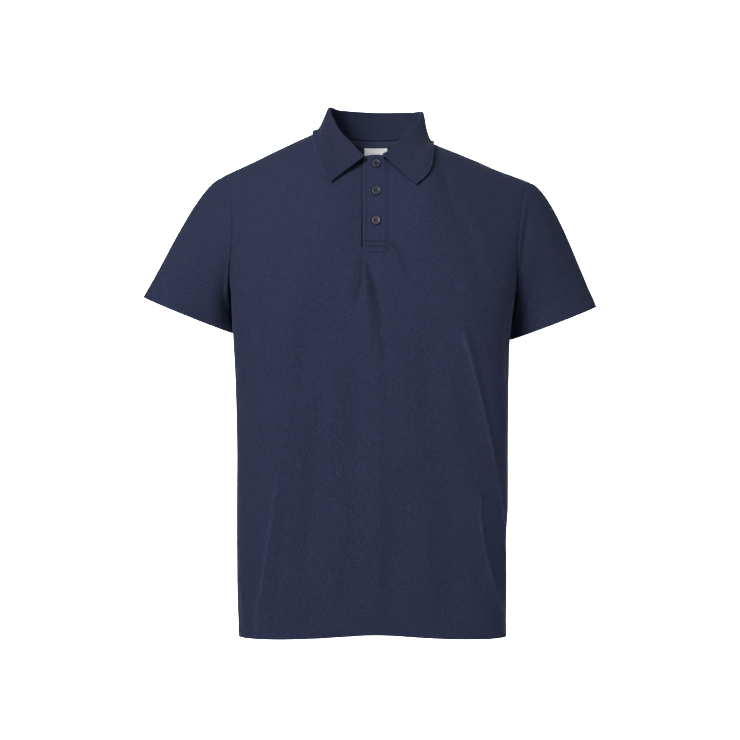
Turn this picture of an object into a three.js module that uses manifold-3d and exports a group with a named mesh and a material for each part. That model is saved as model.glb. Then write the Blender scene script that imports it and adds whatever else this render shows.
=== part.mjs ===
// A short-sleeved polo shirt, filled out as when worn, with nobody in it.
// Millimetres, +Z up. The front faces -Y, and +X is the viewer's right, the wearer's left.
// The origin is at the base of the neck, midway between the two high shoulder points.
//
// The cloth is worked out in three steps: rings round the torso up to the armpits, curves from
// the ring at the armpits up to the neck and the shoulder seams, and curves from the armholes
// down to the cuffs. Each piece is a grid of points on one of these, given a wall.
import * as THREE from "three";
import Module from "manifold-3d";

// Cloth and seams
const CLOTH = 1.4; // wall of the body and sleeves
const COLLAR_WALL = 1.7; // wall of the flat-knitted collar
const BAND_WALL = 1.4; // wall of the two placket bands
const TAPE_WALL = 1; // wall of the neck tape and the label
const SEAM_GAP = 0.3; // between two pieces at a seam
const ARM_SHIFT = 0.18; // of each edge at an armhole, sideways, for a gap between the two that lean there
const LAY_GAP = 0.3; // between a panel and what lies on it
const COLLAR_SEAM = 0.6; // collar above the neck seam's curve, which the panels' straight steps cut short

// Torso rings, from the hem up: half-widths left and right of the origin, depths before and behind it
const TORSO = [
  { z: -728, left: 195.5, right: 186.0, front: 118, back: 108 },
  { z: -640, left: 198.5, right: 187.5, front: 122, back: 103 },
  { z: -540, left: 199.3, right: 188.6, front: 125, back: 100 },
  { z: -450, left: 199.0, right: 189.0, front: 127, back: 99 },
  { z: -350, left: 200.8, right: 190.0, front: 128, back: 103 },
  { z: -290, left: 204.5, right: 192.5, front: 128, back: 108 },
  { z: -235, left: 208.0, right: 198.5, front: 126, back: 114 },
  { z: -150, left: 212.0, right: 206.0, front: 122, back: 118 },
];
const WIDEST_Y = -38; // where the rings are widest
const FRONT_SQUARENESS = 2.6; // exponent of the ring's front, 2 for an ellipse
const BACK_SQUARENESS = 2.9;
const ARMPIT_Z = -235;
const HEM = { side: -719, front: -709.5, back: -720 }; // the hem rises a little at the front

// Large soft folds: angle from the front at the foot and head of each, its heights, depth and half-width
const FOLDS = [
  { foot: 58, head: 37, low: -730, high: -270, depth: 5.0, half: 8 },
  { foot: -57, head: -36, low: -760, high: -430, depth: 4.0, half: 7 },
  { foot: -22, head: -17, low: -700, high: -300, depth: 3.0, half: 8 },
  { foot: 3, head: 0, low: -760, high: -230, depth: -2.0, half: 7 },
  { foot: 142, head: 160, low: -760, high: -260, depth: 4.0, half: 9 },
  { foot: -150, head: -163, low: -740, high: -330, depth: 4.5, half: 9 },
];
const FOLD_FADE = 5; // a fold fades out over one part in this many of its length, at both ends

// Angles round the torso, from the front centre
const SIDE_SEAM = THREE.MathUtils.degToRad(103);
const FRONT_ARM = THREE.MathUtils.degToRad(82); // where the front panel meets the armhole
const BACK_ARM = THREE.MathUtils.degToRad(119);
const ARM_RISE = 0.36; // share of the armhole's height over which its foot is rounded
const ARM_PACE = 1.3; // exponent of the panel's level by the angle round the armhole
const ARM_STEPS = 32; // points round an armhole that its middle is taken from
// The front's armholes are scooped in by these degrees, and by exponents for how high up and how near them
const ARM_SCOOP = { left: 4, right: 2.8, pace: 1.3, near: 5 };

// Neck seam: half-width, middle, reach to the front and back, height and how it varies round it
const NECK = { half: 80, y: 5, front: 78, back: 71, z: -10, drop: 19.75, dip: 9.25, tilt: -8.75 };

// Shoulder seams from the neck to the tip, with the sag between them
const SHOULDER = {
  left: { x: -227.5, y: 12, z: -61, sag: -0.6 },
  right: { x: 226.5, y: 12, z: -67.6, sag: 1.2 },
};
const TIP_SLOWING = { share: 1 / 8, exponent: 5 }; // how the seam's points close up towards the tip

// The cloth's direction where it gets to the upper edge, at the neck's centre and at the shoulders
const ARRIVAL = {
  front: { centre: [0, 0.55, 0.83], shoulder: [0, 1, -0.05] },
  back: { centre: [0, -0.35, 0.94], shoulder: [0, -1, 0.05] },
};

// Cuffs: lowest outer point, slope of the cuff's long side, half-length, half-depth, sleeve's slope at it
const CUFF = {
  left: { x: -338.3, y: 10, z: -233.5, rise: 22, half: 71.0, depth: 45, run: 60 },
  right: { x: 320.5, y: 10, z: -247.5, rise: 21, half: 67.5, depth: 45, run: 66 },
};
const CUFF_DIP = 0.04; // how far the cuff's front hangs below its back, for each millimetre of depth
const CAP_REACH = { top: 105, foot: 35 }; // how strongly the sleeve holds its direction at the armhole
const CAP_DIRECTION = { top: [0.92, 0, -0.39], foot: [0.35, 0, -0.94] }; // that direction, for the +X sleeve
const CUFF_FOOT = [0.15, 0, -1]; // the direction at the foot of the cuff

// Collar: angle from the front, the fold line and the outer edge there
const COLLAR = {
  left: [
    { turn: 12, foldX: 16.5, foldY: -78.5, foldZ: -37, edgeX: 64.5, edgeY: -102, edgeZ: -72 },
    { turn: 45, foldX: 50.5, foldY: -41, foldZ: 3.5, edgeX: 80.5, edgeY: -83, edgeZ: -40 },
    { turn: 67, foldX: 62, foldY: -18, foldZ: 25, edgeX: 89.5, edgeY: -47, edgeZ: -15 },
    { turn: 90, foldX: 66, foldY: 5, foldZ: 42, edgeX: 92, edgeY: 4, edgeZ: 5.5 },
    { turn: 135, foldX: 51, foldY: 57, foldZ: 44.5, edgeX: 72, edgeY: 66, edgeZ: 1 },
    { turn: 180, foldX: 0, foldY: 80, foldZ: 44, edgeX: 0, edgeY: 85, edgeZ: -8 },
  ],
  right: [
    { turn: 6, foldX: 8.3, foldY: -79, foldZ: -35, edgeX: 56, edgeY: -100, edgeZ: -76.5 },
    { turn: 45, foldX: 47, foldY: -41, foldZ: 1, edgeX: 80.5, edgeY: -73, edgeZ: -40 },
    { turn: 67, foldX: 60, foldY: -18, foldZ: 19, edgeX: 85.5, edgeY: -39, edgeZ: -21 },
    { turn: 90, foldX: 66, foldY: 5, foldZ: 35.5, edgeX: 85, edgeY: 4, edgeZ: -7 },
    { turn: 135, foldX: 51, foldY: 57, foldZ: 41.5, edgeX: 68, edgeY: 66, edgeZ: -7 },
    { turn: 180, foldX: 0, foldY: 80, foldZ: 44, edgeX: 0, edgeY: 85, edgeZ: -8 },
  ],
};
// Each side's rows run on past the back centre into the other side's, so that the curve is smooth there.
const pastCentre = ({ turn, foldX, edgeX, ...rest }) => {
  return { ...rest, turn: 360 - turn, foldX: -foldX, edgeX: -edgeX };
};
const COLLAR_SIDES = {
  left: [...COLLAR.left, pastCentre(COLLAR.right.at(-2))],
  right: [...COLLAR.right, pastCentre(COLLAR.left.at(-2))],
};
const FOLD_RADIUS = 2.8; // of the collar's face where it turns over
const STAND = 0.44; // share across the collar at which the stand ends and the fold begins
const FALL = 0.56; // share across at which the fold ends and the fall begins
const FALL_DROP = 0.9; // how strongly the fall holds its direction below the fold
const FALL_FLARE = 0.7; // how strongly it is turned outwards at its edge
const FALL_LIFT = 1.6; // least space between the fall and the panels that it lies on
const FALL_EASE = 1.2; // width over which a point is eased out to that space
const STEEPEST = 30; // past this the easing is a straight line

// Placket: a slot in the front, an upper band over it and an under band behind it
const SLOT = { half: 15.5, foot: -166 };
const UPPER_BAND = { left: -17.7, right: 17.3, foot: -175, head: -42 };
const UNDER_BAND = { left: -17.3, right: 16.9, foot: -172, head: -43 };
const BUTTONS = [-47.8, -87.8, -130.2]; // heights of the three buttons on the band
const BUTTON = { radius: 6, thick: 2.4, rim: 1.1, dish: 0.7 };
// Shares of the radius, the thickness and the rim: flat foot, foot's and head's bevel, slope into the dish
const BUTTON_BEVEL = { flat: 0.8, foot: 0.4, head: 0.75, slope: 1.9 };
const HOLES = { count: 4, radius: 0.8, ring: 1.7 };

// Inside the back neck
const TAPE_DEEP = 10;
const TAPE_END = 0.93; // share of the way to the high shoulder points where the tape ends
const LABEL = { half: 17, deep: 42 };

// Steps of the grids
const NECK_COLUMNS = 7; // on each side of the centre, up to the high shoulder point
const SHOULDER_COLUMNS = 5; // from there to the armhole
const HEM_ROWS = 12;
const CHEST_ROWS = 12;
const FOOT = { rows: 4, share: 0.75 }; // the chest's rows at the armhole's foot, over this share of it
const SLEEVE_ROWS = 8;
const COLLAR_COLUMNS = 32;
const COLLAR_ROWS = { stand: 3, fold: 4, fall: 6 };
const BAND_STEPS = { across: 4, up: 12 };
const LABEL_STEPS = 4;
const CLOUD = { low: 1.5, high: 1.995, up: 24, across: 60 }; // points of the panels under the collar
const BUTTON_SIDES = 16;
const HOLE_SIDES = 6;

// Limits of the working out
const HALVINGS = 40; // of a range, to find a value in it
const NORMAL_STEP = 0.004; // of a surface's parameters, to find its normal
const REGULAR = { share: 0.985, low: 0.01, high: 1.985, sleeve: 0.02 }; // where the surfaces are regular
const SHORT_OF_CORNER = 0.01; // the column at a high shoulder point stands this short of it
const MITRE_LIMIT = 0.5; // least cosine between a wall's mitre and its normal
const MIDDLE_TOP = -120; // top of the line down the body's middle that its normals point away from
const SAME_POINT = 1e4; // points whose coordinates agree when multiplied by this and rounded are one

const NAVY = { color: 0x2b2f49, roughness: 0.9, metalness: 0 };
const DARK_PLASTIC = { color: 0x2a2a35, roughness: 0.45, metalness: 0 };
const WHITE_TAPE = { color: 0xeeeeee, roughness: 0.85, metalness: 0 };

const vec = (x, y, z) => new THREE.Vector3(x, y, z);
const spread = (low, high, steps) => {
  return Array.from({ length: steps + 1 }, (_, i) => low + ((high - low) * i) / steps);
};
const sum = (...terms) => terms.reduce((total, [v, k]) => total.addScaledVector(v, k), vec(0, 0, 0));
const smooth = (x) => THREE.MathUtils.smoothstep(x, 0, 1);
const signOf = (side) => (side === "left" ? -1 : 1);

// The last value, going from one bound to the other, for which a test holds.
function lastWhere(holds, start, end) {
  let inside = start;
  let outside = end;
  for (let i = 0; i < HALVINGS; i += 1) {
    const middle = (inside + outside) / 2;
    if (holds(middle)) inside = middle;
    else outside = middle;
  }
  return inside;
}

// Cubic through a table's rows: the slope at a row is that between its two neighbours.
function along(table, key, column, at) {
  const last = table.length - 1;
  const x = THREE.MathUtils.clamp(at, table[0][key], table[last][key]);
  let i = 0;
  while (i < last - 1 && table[i + 1][key] < x) i += 1;
  const slope = (j) => {
    const a = table[Math.max(j - 1, 0)];
    const b = table[Math.min(j + 1, last)];
    return (b[column] - a[column]) / (b[key] - a[key]);
  };
  const span = table[i + 1][key] - table[i][key];
  const t = (x - table[i][key]) / span;
  const [w0, w1, w2, w3] = hermiteWeights(t);
  return table[i][column] * w0 + slope(i) * span * w1 + table[i + 1][column] * w2 + slope(i + 1) * span * w3;
}

function hermiteWeights(t) {
  return [(1 + 2 * t) * (1 - t) ** 2, t * (1 - t) ** 2, t * t * (3 - 2 * t), -t * t * (1 - t)];
}

function hermite(start, startSlope, end, endSlope, t) {
  const [w0, w1, w2, w3] = hermiteWeights(t);
  return sum([start, w0], [startSlope, w1], [end, w2], [endSlope, w3]);
}

// How far the large folds stand in from the ring at an angle and height: a bell across each fold,
// faded at both ends.
function foldDepth(angle, z) {
  const degrees = THREE.MathUtils.radToDeg(angle);
  return FOLDS.reduce((depth, f) => {
    const t = (z - f.low) / (f.high - f.low);
    if (t <= 0 || t >= 1) return depth;
    const centre = f.foot + (f.head - f.foot) * t;
    const fade = smooth(t * FOLD_FADE) * smooth((1 - t) * FOLD_FADE);
    return depth + f.depth * fade * Math.exp(-(((degrees - centre) / f.half) ** 2));
  }, 0);
}

// A torso ring: the superellipse |x/a|^n + |y/b|^n = 1 about the widest line, by angle from the front.
function ring(angle, z) {
  const c = Math.cos(angle);
  const s = Math.sin(angle);
  const half = along(TORSO, "z", s < 0 ? "left" : "right", z);
  const depth = c > 0 ? along(TORSO, "z", "front", z) + WIDEST_Y : along(TORSO, "z", "back", z) - WIDEST_Y;
  const n = c > 0 ? FRONT_SQUARENESS : BACK_SQUARENESS;
  const radius = (Math.abs(c / depth) ** n + Math.abs(s / half) ** n) ** (-1 / n) - foldDepth(angle, z);
  return vec(radius * s, WIDEST_Y - radius * c, z);
}

// The neck seam, by angle from the front, positive towards +X.
function neckSeam(turn) {
  const c = Math.cos(turn);
  const s = Math.sin(turn);
  const height = NECK.z - NECK.drop * c - NECK.dip * Math.cos(2 * turn) + NECK.tilt * s ** 3;
  return vec(NECK.half * s, NECK.y - (c > 0 ? NECK.front : NECK.back) * c, height);
}

// The shoulder seam from the neck, share 0, to the tip, share 1, where it slows to round the armhole.
function shoulderSeam(share, side) {
  const tip = SHOULDER[side];
  const eased = (share - TIP_SLOWING.share * share ** TIP_SLOWING.exponent) / (1 - TIP_SLOWING.share);
  const neck = neckSeam((signOf(side) * Math.PI) / 2);
  const point = neck.lerp(vec(tip.x, tip.y, tip.z), eased);
  point.z -= tip.sag * Math.sin(Math.PI * share);
  return point;
}

// Angle on the ring at the armpits above which the neck seam ends, for each quarter of the torso.
function neckEnd(sign, front) {
  const reach = (NECK.half * Math.PI) / 2;
  const within = (angle) => Math.abs(ring(sign * angle, ARMPIT_Z).x) < reach;
  return front ? lastWhere(within, 0, FRONT_ARM) : lastWhere(within, Math.PI, BACK_ARM);
}
const NECK_END = {
  left: { front: neckEnd(-1, true), back: neckEnd(-1, false) },
  right: { front: neckEnd(1, true), back: neckEnd(1, false) },
};

// The upper edge over an angle of the ring at the armpits, and the cloth's direction as it gets there.
function upperEdge(angle) {
  const sign = angle < 0 ? -1 : 1;
  const side = angle < 0 ? "left" : "right";
  const front = Math.abs(angle) < SIDE_SEAM;
  const end = NECK_END[side][front ? "front" : "back"];
  const arm = front ? FRONT_ARM : BACK_ARM;
  const share = (Math.abs(angle) - end) / (arm - end);
  let point;
  let across = 1;
  if (share > 0) {
    point = shoulderSeam(share, side);
  } else {
    const turn = Math.abs(ring(angle, ARMPIT_Z).x) / NECK.half;
    point = neckSeam(sign * (front ? turn : Math.PI - turn));
    across = Math.sin(turn) ** 2;
  }
  const { centre, shoulder } = ARRIVAL[front ? "front" : "back"];
  return { point, slope: vec(...centre).lerp(vec(...shoulder), across).normalize() };
}

// The body by angle and level: 0 at the hem, 1 at the armpits, 2 at the neck and shoulder seams.
function body(angle, level) {
  if (level <= 1) {
    const c = Math.cos(angle);
    const hem = HEM.side + ((c > 0 ? HEM.front : HEM.back) - HEM.side) * c * c;
    return ring(angle, hem + (ARMPIT_Z - hem) * level);
  }
  const step = 2;
  const base = ring(angle, ARMPIT_Z);
  const rise = ring(angle, ARMPIT_Z + step).sub(ring(angle, ARMPIT_Z - step)).divideScalar(2 * step);
  const { point, slope } = upperEdge(angle);
  const chord = point.distanceTo(base);
  return hermite(base, rise.multiplyScalar(chord), point, slope.multiplyScalar(chord), level - 1);
}

// Angle of a panel's side edge at a level: the side seam, then the armhole with its rounded foot.
function edgeAngle(level, arm) {
  const q = THREE.MathUtils.clamp((level - 1) / ARM_RISE, 0, 1);
  return arm + (SIDE_SEAM - arm) * (1 - Math.sqrt(1 - (1 - q) ** 2));
}

// How far the front's edge is scooped in at a level: nothing at the armpit and at the shoulder's tip.
function scoop(side, level) {
  const up = THREE.MathUtils.clamp(level - 1, 0, 1) ** ARM_SCOOP.pace;
  return THREE.MathUtils.degToRad(ARM_SCOOP[side]) * Math.sin(Math.PI * up);
}

// Panels by share across, -1 to 1 from the left edge to the right one, and level.
function frontPanel(share, level) {
  const narrowing = SIDE_SEAM - edgeAngle(level, FRONT_ARM);
  const scooped = scoop(share < 0 ? "left" : "right", level) * share ** ARM_SCOOP.near;
  return body(SIDE_SEAM * share - narrowing * share ** 3 - scooped, level);
}

function backPanel(share, level) {
  const a = Math.abs(share);
  const narrowing = SIDE_SEAM - edgeAngle(level, BACK_ARM);
  return body((share < 0 ? -1 : 1) * (Math.PI - (Math.PI - SIDE_SEAM) * a - narrowing * a ** 3), level);
}

// The armhole, by angle round it: 0 at the shoulder tip, pi at the armpit by way of the front.
function armhole(side, turn) {
  const front = turn <= Math.PI;
  const fall = front ? turn / Math.PI : 2 - turn / Math.PI;
  const level = 1 + (1 - fall) ** ARM_PACE;
  return (front ? frontPanel : backPanel)(signOf(side), level);
}

// Angle round the armhole at a level of the panel's edge, by way of the front.
const armTurn = (level) => Math.PI * (1 - (level - 1) ** (1 / ARM_PACE));
const armCentre = (side) => {
  const turns = spread(0, 2 * Math.PI, ARM_STEPS).slice(1);
  return sum(...turns.map((turn) => [armhole(side, turn), 1 / turns.length]));
};
const ARM_CENTRE = { left: armCentre("left"), right: armCentre("right") };

// A sleeve by angle round it and share down from the armhole to the cuff.
function sleeve(side, turn, share) {
  const sign = signOf(side);
  const cuff = CUFF[side];
  const rise = THREE.MathUtils.degToRad(cuff.rise);
  const run = THREE.MathUtils.degToRad(cuff.run);
  const outwards = vec(sign * Math.cos(rise), 0, Math.sin(rise));
  const forwards = vec(0, -1, -CUFF_DIP);
  const end = vec(cuff.x, cuff.y, cuff.z);
  const cuffPoint = sum(
    [end, 1],
    [outwards, cuff.half * (Math.cos(turn) - 1)],
    [forwards, cuff.depth * Math.sin(turn)],
  );
  const low = (1 - Math.cos(turn)) / 2;
  const leave = vec(...CAP_DIRECTION.top).lerp(vec(...CAP_DIRECTION.foot), low);
  const arrive = vec(Math.cos(run), 0, -Math.sin(run)).lerp(vec(...CUFF_FOOT), low);
  for (const direction of [leave, arrive]) direction.normalize().setX(sign * direction.x);
  const start = armhole(side, turn);
  const reach = CAP_REACH.top * (1 - low) + CAP_REACH.foot * low;
  const chord = cuffPoint.distanceTo(start);
  return hermite(start, leave.multiplyScalar(reach), cuffPoint, arrive.multiplyScalar(chord), share);
}

// The collar's face by side, angle from the front in degrees and share across: up the stand on the
// neck's side, over the fold in a half circle, and down the fall to its outer edge.
const collarSeam = (side, turn) => {
  const seam = neckSeam(signOf(side) * THREE.MathUtils.degToRad(turn));
  return seam.add(vec(0, 0, COLLAR_SEAM));
};
function collarFace(side, turn, share) {
  const sign = signOf(side);
  const at = (column) => along(COLLAR_SIDES[side], "turn", column, turn);
  const fold = vec(sign * at("foldX"), at("foldY"), at("foldZ"));
  const edge = vec(sign * at("edgeX"), at("edgeY"), at("edgeZ"));
  const seam = collarSeam(side, turn);
  const down = sum([seam, 0.5], [edge, 0.5], [fold, -1]).normalize();
  const spreadOut = edge.clone().sub(seam);
  const out = spreadOut.clone().addScaledVector(down, -spreadOut.dot(down)).normalize();
  const centre = sum([fold, 1], [down, FOLD_RADIUS]);
  if (share < STAND) {
    const start = sum([seam, 1], [out, -COLLAR_WALL]);
    const end = sum([centre, 1], [out, -FOLD_RADIUS]);
    const rise = end.clone().sub(start);
    return hermite(start, rise, end, down.clone().multiplyScalar(-rise.length()), share / STAND);
  }
  if (share <= FALL) {
    const angle = (Math.PI * (share - STAND)) / (FALL - STAND);
    return sum([centre, 1], [down, -FOLD_RADIUS * Math.sin(angle)], [out, -FOLD_RADIUS * Math.cos(angle)]);
  }
  const start = sum([centre, 1], [out, FOLD_RADIUS]);
  const length = edge.distanceTo(start);
  const drop = down.clone().multiplyScalar(FALL_DROP * length);
  const flare = spreadOut.clone().normalize().multiplyScalar(FALL_FLARE * length);
  return hermite(start, drop, edge, flare, (share - FALL) / (1 - FALL));
}

// Unit normal of a surface at a pair of parameters, on the side that points away from a middle point.
function outwardNormal(surface, u, v, middle, step = NORMAL_STEP) {
  const alongU = surface(u + step, v).sub(surface(u - step, v));
  const alongV = surface(u, v + step).sub(surface(u, v - step));
  const normal = alongU.cross(alongV).normalize();
  return normal.dot(surface(u, v).sub(middle)) < 0 ? normal.negate() : normal;
}

// Outward normal of a panel, taken a little inside its edges, where the surface is regular.
function panelNormal(panel, share, level) {
  const s = THREE.MathUtils.clamp(share, -REGULAR.share, REGULAR.share);
  const l = THREE.MathUtils.clamp(level, REGULAR.low, REGULAR.high);
  return outwardNormal(panel, s, l, vec(0, 0, Math.min(panel(s, l).z, MIDDLE_TOP)));
}

// Inward direction at an armhole, towards its middle and long enough to keep the wall's thickness.
function mitre(point, normal, side) {
  const inward = ARM_CENTRE[side].clone().sub(point).normalize();
  return inward.multiplyScalar(1 / Math.max(Math.abs(inward.dot(normal)), MITRE_LIMIT));
}

// A closed wall between two grids of points. Cells that keep() refuses are left open, and a wrapped
// grid joins its last column to its first. The wall's rim follows every edge of the kept cells.
function wall(faceGrid, backGrid, { wrap = false, keep = () => true } = {}) {
  const rows = faceGrid.length;
  const columns = faceGrid[0].length;
  const cellColumns = wrap ? columns : columns - 1;
  const vertices = [...faceGrid.flat(), ...backGrid.flat()];
  const face = (i, j) => i * columns + (j % columns);
  const back = (i, j) => rows * columns + face(i, j);
  const kept = (i, j) => {
    if (i < 0 || i >= rows - 1) return false;
    if (!wrap && (j < 0 || j >= cellColumns)) return false;
    return keep(i, (j + cellColumns) % cellColumns);
  };
  const triangles = [];
  const quad = (a, b, c, d) => triangles.push([a, b, c], [a, c, d]);
  for (let i = 0; i < rows - 1; i += 1) {
    for (let j = 0; j < cellColumns; j += 1) {
      if (!kept(i, j)) continue;
      quad(face(i, j), face(i, j + 1), face(i + 1, j + 1), face(i + 1, j));
      quad(back(i, j), back(i + 1, j), back(i + 1, j + 1), back(i, j + 1));
      if (!kept(i - 1, j)) quad(face(i, j + 1), face(i, j), back(i, j), back(i, j + 1));
      if (!kept(i + 1, j)) quad(face(i + 1, j), face(i + 1, j + 1), back(i + 1, j + 1), back(i + 1, j));
      if (!kept(i, j - 1)) quad(face(i, j), face(i + 1, j), back(i + 1, j), back(i, j));
      if (!kept(i, j + 1)) quad(face(i + 1, j + 1), face(i, j + 1), back(i, j + 1), back(i + 1, j + 1));
    }
  }
  return closedGeometry(vertices, triangles);
}

// Geometry from points and triangles, turned so that the solid's volume is positive.
function closedGeometry(vertices, triangles) {
  const volume = triangles.reduce((total, [a, b, c]) => {
    return total + vertices[a].dot(vertices[b].clone().cross(vertices[c]));
  }, 0);
  const order = volume < 0 ? triangles.map(([a, b, c]) => [a, c, b]) : triangles;
  const used = [...new Set(order.flat())].sort((a, b) => a - b);
  const place = new Map(used.map((old, i) => [old, i]));
  const geometry = new THREE.BufferGeometry();
  const positions = used.flatMap((i) => vertices[i].toArray());
  geometry.setAttribute("position", new THREE.Float32BufferAttribute(positions, 3));
  geometry.setIndex(order.flat().map((i) => place.get(i)));
  geometry.computeVertexNormals();
  return geometry;
}

// Face and back grids of a panel. Seam edges stand back by half the seam's gap.
function panelGrids(panel, shares, levels, seamShift) {
  const faces = [];
  const backs = [];
  for (const level of levels) {
    const faceRow = [];
    const backRow = [];
    for (const share of shares) {
      const normal = panelNormal(panel, share, level);
      const atEdge = Math.abs(share) === 1;
      const side = share < 0 ? "left" : "right";
      const shift = vec(0, 0, 0);
      if (atEdge && level <= 1) shift.y += seamShift;
      if (level === 2 || (atEdge && level === 1)) shift.y += seamShift;
      const point = panel(share, level);
      let inward = normal.negate();
      if (atEdge && level >= 1) {
        shift.x = -signOf(side) * ARM_SHIFT;
        inward = mitre(point, normal, side);
      }
      faceRow.push(point.clone().add(shift));
      backRow.push(point.add(shift).addScaledVector(inward, CLOTH));
    }
    faces.push(faceRow);
    backs.push(backRow);
  }
  return [faces, backs];
}

// Share across the front at a distance from its centre line, near which the ring is flat.
function frontShare(x) {
  const depth = along(TORSO, "z", "front", ARMPIT_Z) + WIDEST_Y;
  return Math.atan(x / depth) / SIDE_SEAM;
}

// Level of the front's centre line at a height above the armpits.
function frontLevel(z) {
  return lastWhere((level) => frontPanel(0, level).z < z, 1, 2);
}

// Level of the back's centre line at a distance below the neck seam.
function backLevel(distance) {
  const top = backPanel(0, 2);
  return lastWhere((level) => backPanel(0, level).distanceTo(top) > distance, CLOUD.low, 2);
}

// Levels from the hem to the top, with the armhole's foot in short rows and one row at each stop.
function panelLevels(stops) {
  const foot = spread(0, 1, FOOT.rows).map((t) => 1 + ARM_RISE * FOOT.share * t * t);
  const above = spread(foot[FOOT.rows], 2, CHEST_ROWS - FOOT.rows).slice(1);
  const levels = [...spread(0, 1, HEM_ROWS), ...foot.slice(1), ...above];
  for (const stop of stops) {
    const inside = levels.slice(0, -1);
    const nearest = inside.reduce((best, level, i) => {
      return Math.abs(level - stop) < Math.abs(inside[best] - stop) ? i : best;
    }, 1);
    levels[nearest] = stop;
  }
  return levels;
}

// Share across a panel at a level where it gets as far from the centre plane as a given distance.
function shareAt(panel, level, distance, sign = 1) {
  return lastWhere((share) => Math.abs(panel(sign * share, level).x) < distance, 0, 1);
}

// Columns of a panel from its left edge to its right one, with one at each high shoulder point.
function panelShares(panel, inner) {
  const half = (sign) => {
    const shoulder = shareAt(panel, 2, NECK.half - SHORT_OF_CORNER, sign);
    const beyond = spread(shoulder, 1, SHOULDER_COLUMNS).slice(1);
    return [...spread(inner, shoulder, NECK_COLUMNS), ...beyond].map((share) => sign * share);
  };
  const middle = inner > 0 ? [0] : [];
  return [...half(-1).reverse(), ...middle, ...half(1).slice(inner > 0 ? 0 : 1)];
}

const SLOT_LEVEL = frontLevel(SLOT.foot);
const FRONT_LEVELS = panelLevels([SLOT_LEVEL]);
const FRONT_SHARES = panelShares(frontPanel, frontShare(SLOT.half));
const FRONT_GRIDS = panelGrids(frontPanel, FRONT_SHARES, FRONT_LEVELS, -SEAM_GAP / 2);
const BACK_LEVELS = panelLevels([backLevel(TAPE_DEEP)]);
const BACK_SHARES = panelShares(backPanel, 0);
const BACK_GRIDS = panelGrids(backPanel, BACK_SHARES, BACK_LEVELS, SEAM_GAP / 2);

function makeFront() {
  const middle = FRONT_SHARES.indexOf(0);
  const keep = (i, j) => FRONT_LEVELS[i] < SLOT_LEVEL || (j !== middle - 1 && j !== middle);
  return wall(...FRONT_GRIDS, { keep });
}

function makeBack() {
  return wall(...BACK_GRIDS);
}

// A sleeve's columns start where the rows of the two panels end, so that their edges match.
function makeSleeve(side) {
  const downFront = FRONT_LEVELS.filter((level) => level >= 1).reverse().map(armTurn);
  const upBack = BACK_LEVELS.filter((level) => level > 1 && level < 2).map(armTurn);
  const turns = [...downFront, ...upBack.map((turn) => 2 * Math.PI - turn)];
  const surface = (turn, share) => sleeve(side, turn, share);
  const faces = [];
  const backs = [];
  for (const share of spread(0, 1, SLEEVE_ROWS)) {
    const ringPoints = turns.map((turn) => sleeve(side, turn, share));
    const centre = sum(...ringPoints.map((point) => [point, 1 / ringPoints.length]));
    const safe = THREE.MathUtils.clamp(share, REGULAR.sleeve, 1 - REGULAR.sleeve);
    const normals = turns.map((turn) => outwardNormal(surface, turn, safe, centre));
    const shift = vec(share === 0 ? signOf(side) * ARM_SHIFT : 0, 0, 0);
    const inwards = normals.map((normal, i) => {
      return share === 0 ? mitre(ringPoints[i], normal, side) : normal.clone().negate();
    });
    faces.push(ringPoints.map((point) => point.clone().add(shift)));
    backs.push(ringPoints.map((point, i) => point.clone().add(shift).addScaledVector(inwards[i], CLOTH)));
  }
  return wall(faces, backs, { wrap: true });
}

// Points of the two panels under the collar, with their normals.
function panelPoints(panel, shares) {
  const across = spread(shares[2], -shares[2], CLOUD.across);
  return spread(CLOUD.low, CLOUD.high, CLOUD.up).flatMap((level) => across.map((share) => {
    return { point: panel(share, level), normal: panelNormal(panel, share, level) };
  }));
}
const UNDER_COLLAR = [...panelPoints(frontPanel, FRONT_SHARES), ...panelPoints(backPanel, BACK_SHARES)];

// The fall lies on the panels: a point nearer than its lift is eased out along their normal.
function liftOff(point) {
  const nearest = UNDER_COLLAR.reduce((best, entry) => {
    return entry.point.distanceToSquared(point) < best.point.distanceToSquared(point) ? entry : best;
  });
  const height = point.clone().sub(nearest.point).dot(nearest.normal);
  const lack = (FALL_LIFT + COLLAR_WALL - height) / FALL_EASE;
  const eased = FALL_EASE * Math.log(1 + Math.exp(Math.min(lack, STEEPEST)));
  return point.addScaledVector(nearest.normal, eased);
}

function makeCollar() {
  const half = COLLAR_COLUMNS / 2;
  const leftTurns = spread(COLLAR.left[0].turn, 180, half).map((turn) => ["left", turn]);
  const rightTurns = spread(180, COLLAR.right[0].turn, half).slice(1).map((turn) => ["right", turn]);
  const columns = [...leftTurns, ...rightTurns];
  const shares = [
    ...spread(0, STAND, COLLAR_ROWS.stand),
    ...spread(STAND, FALL, COLLAR_ROWS.fold).slice(1),
    ...spread(FALL, 1, COLLAR_ROWS.fall).slice(1),
  ];
  const faces = shares.map((share) => columns.map(([side, turn]) => {
    const point = collarFace(side, turn, share);
    return share > FALL ? liftOff(point) : point;
  }));
  // The other side lies towards the space between stand and fall.
  const backs = faces.map((row, i) => row.map((point, j) => {
    const before = faces[Math.max(i - 1, 0)][j];
    const after = faces[Math.min(i + 1, faces.length - 1)][j];
    const across = after.clone().sub(before);
    const round = row[Math.min(j + 1, row.length - 1)].clone().sub(row[Math.max(j - 1, 0)]);
    const normal = across.cross(round).normalize();
    return i === 0 ? collarSeam(...columns[j]) : point.clone().addScaledVector(normal, COLLAR_WALL);
  }));
  return wall(faces, backs);
}

// A strip of points of a panel, moved out or in by a distance, with a wall.
function stripOn(panel, shares, levels, offset, thickness) {
  const grid = (distance) => levels.map((level) => shares.map((share) => {
    return panel(share, level).addScaledVector(panelNormal(panel, share, level), distance);
  }));
  return wall(grid(offset + thickness), grid(offset));
}

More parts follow.
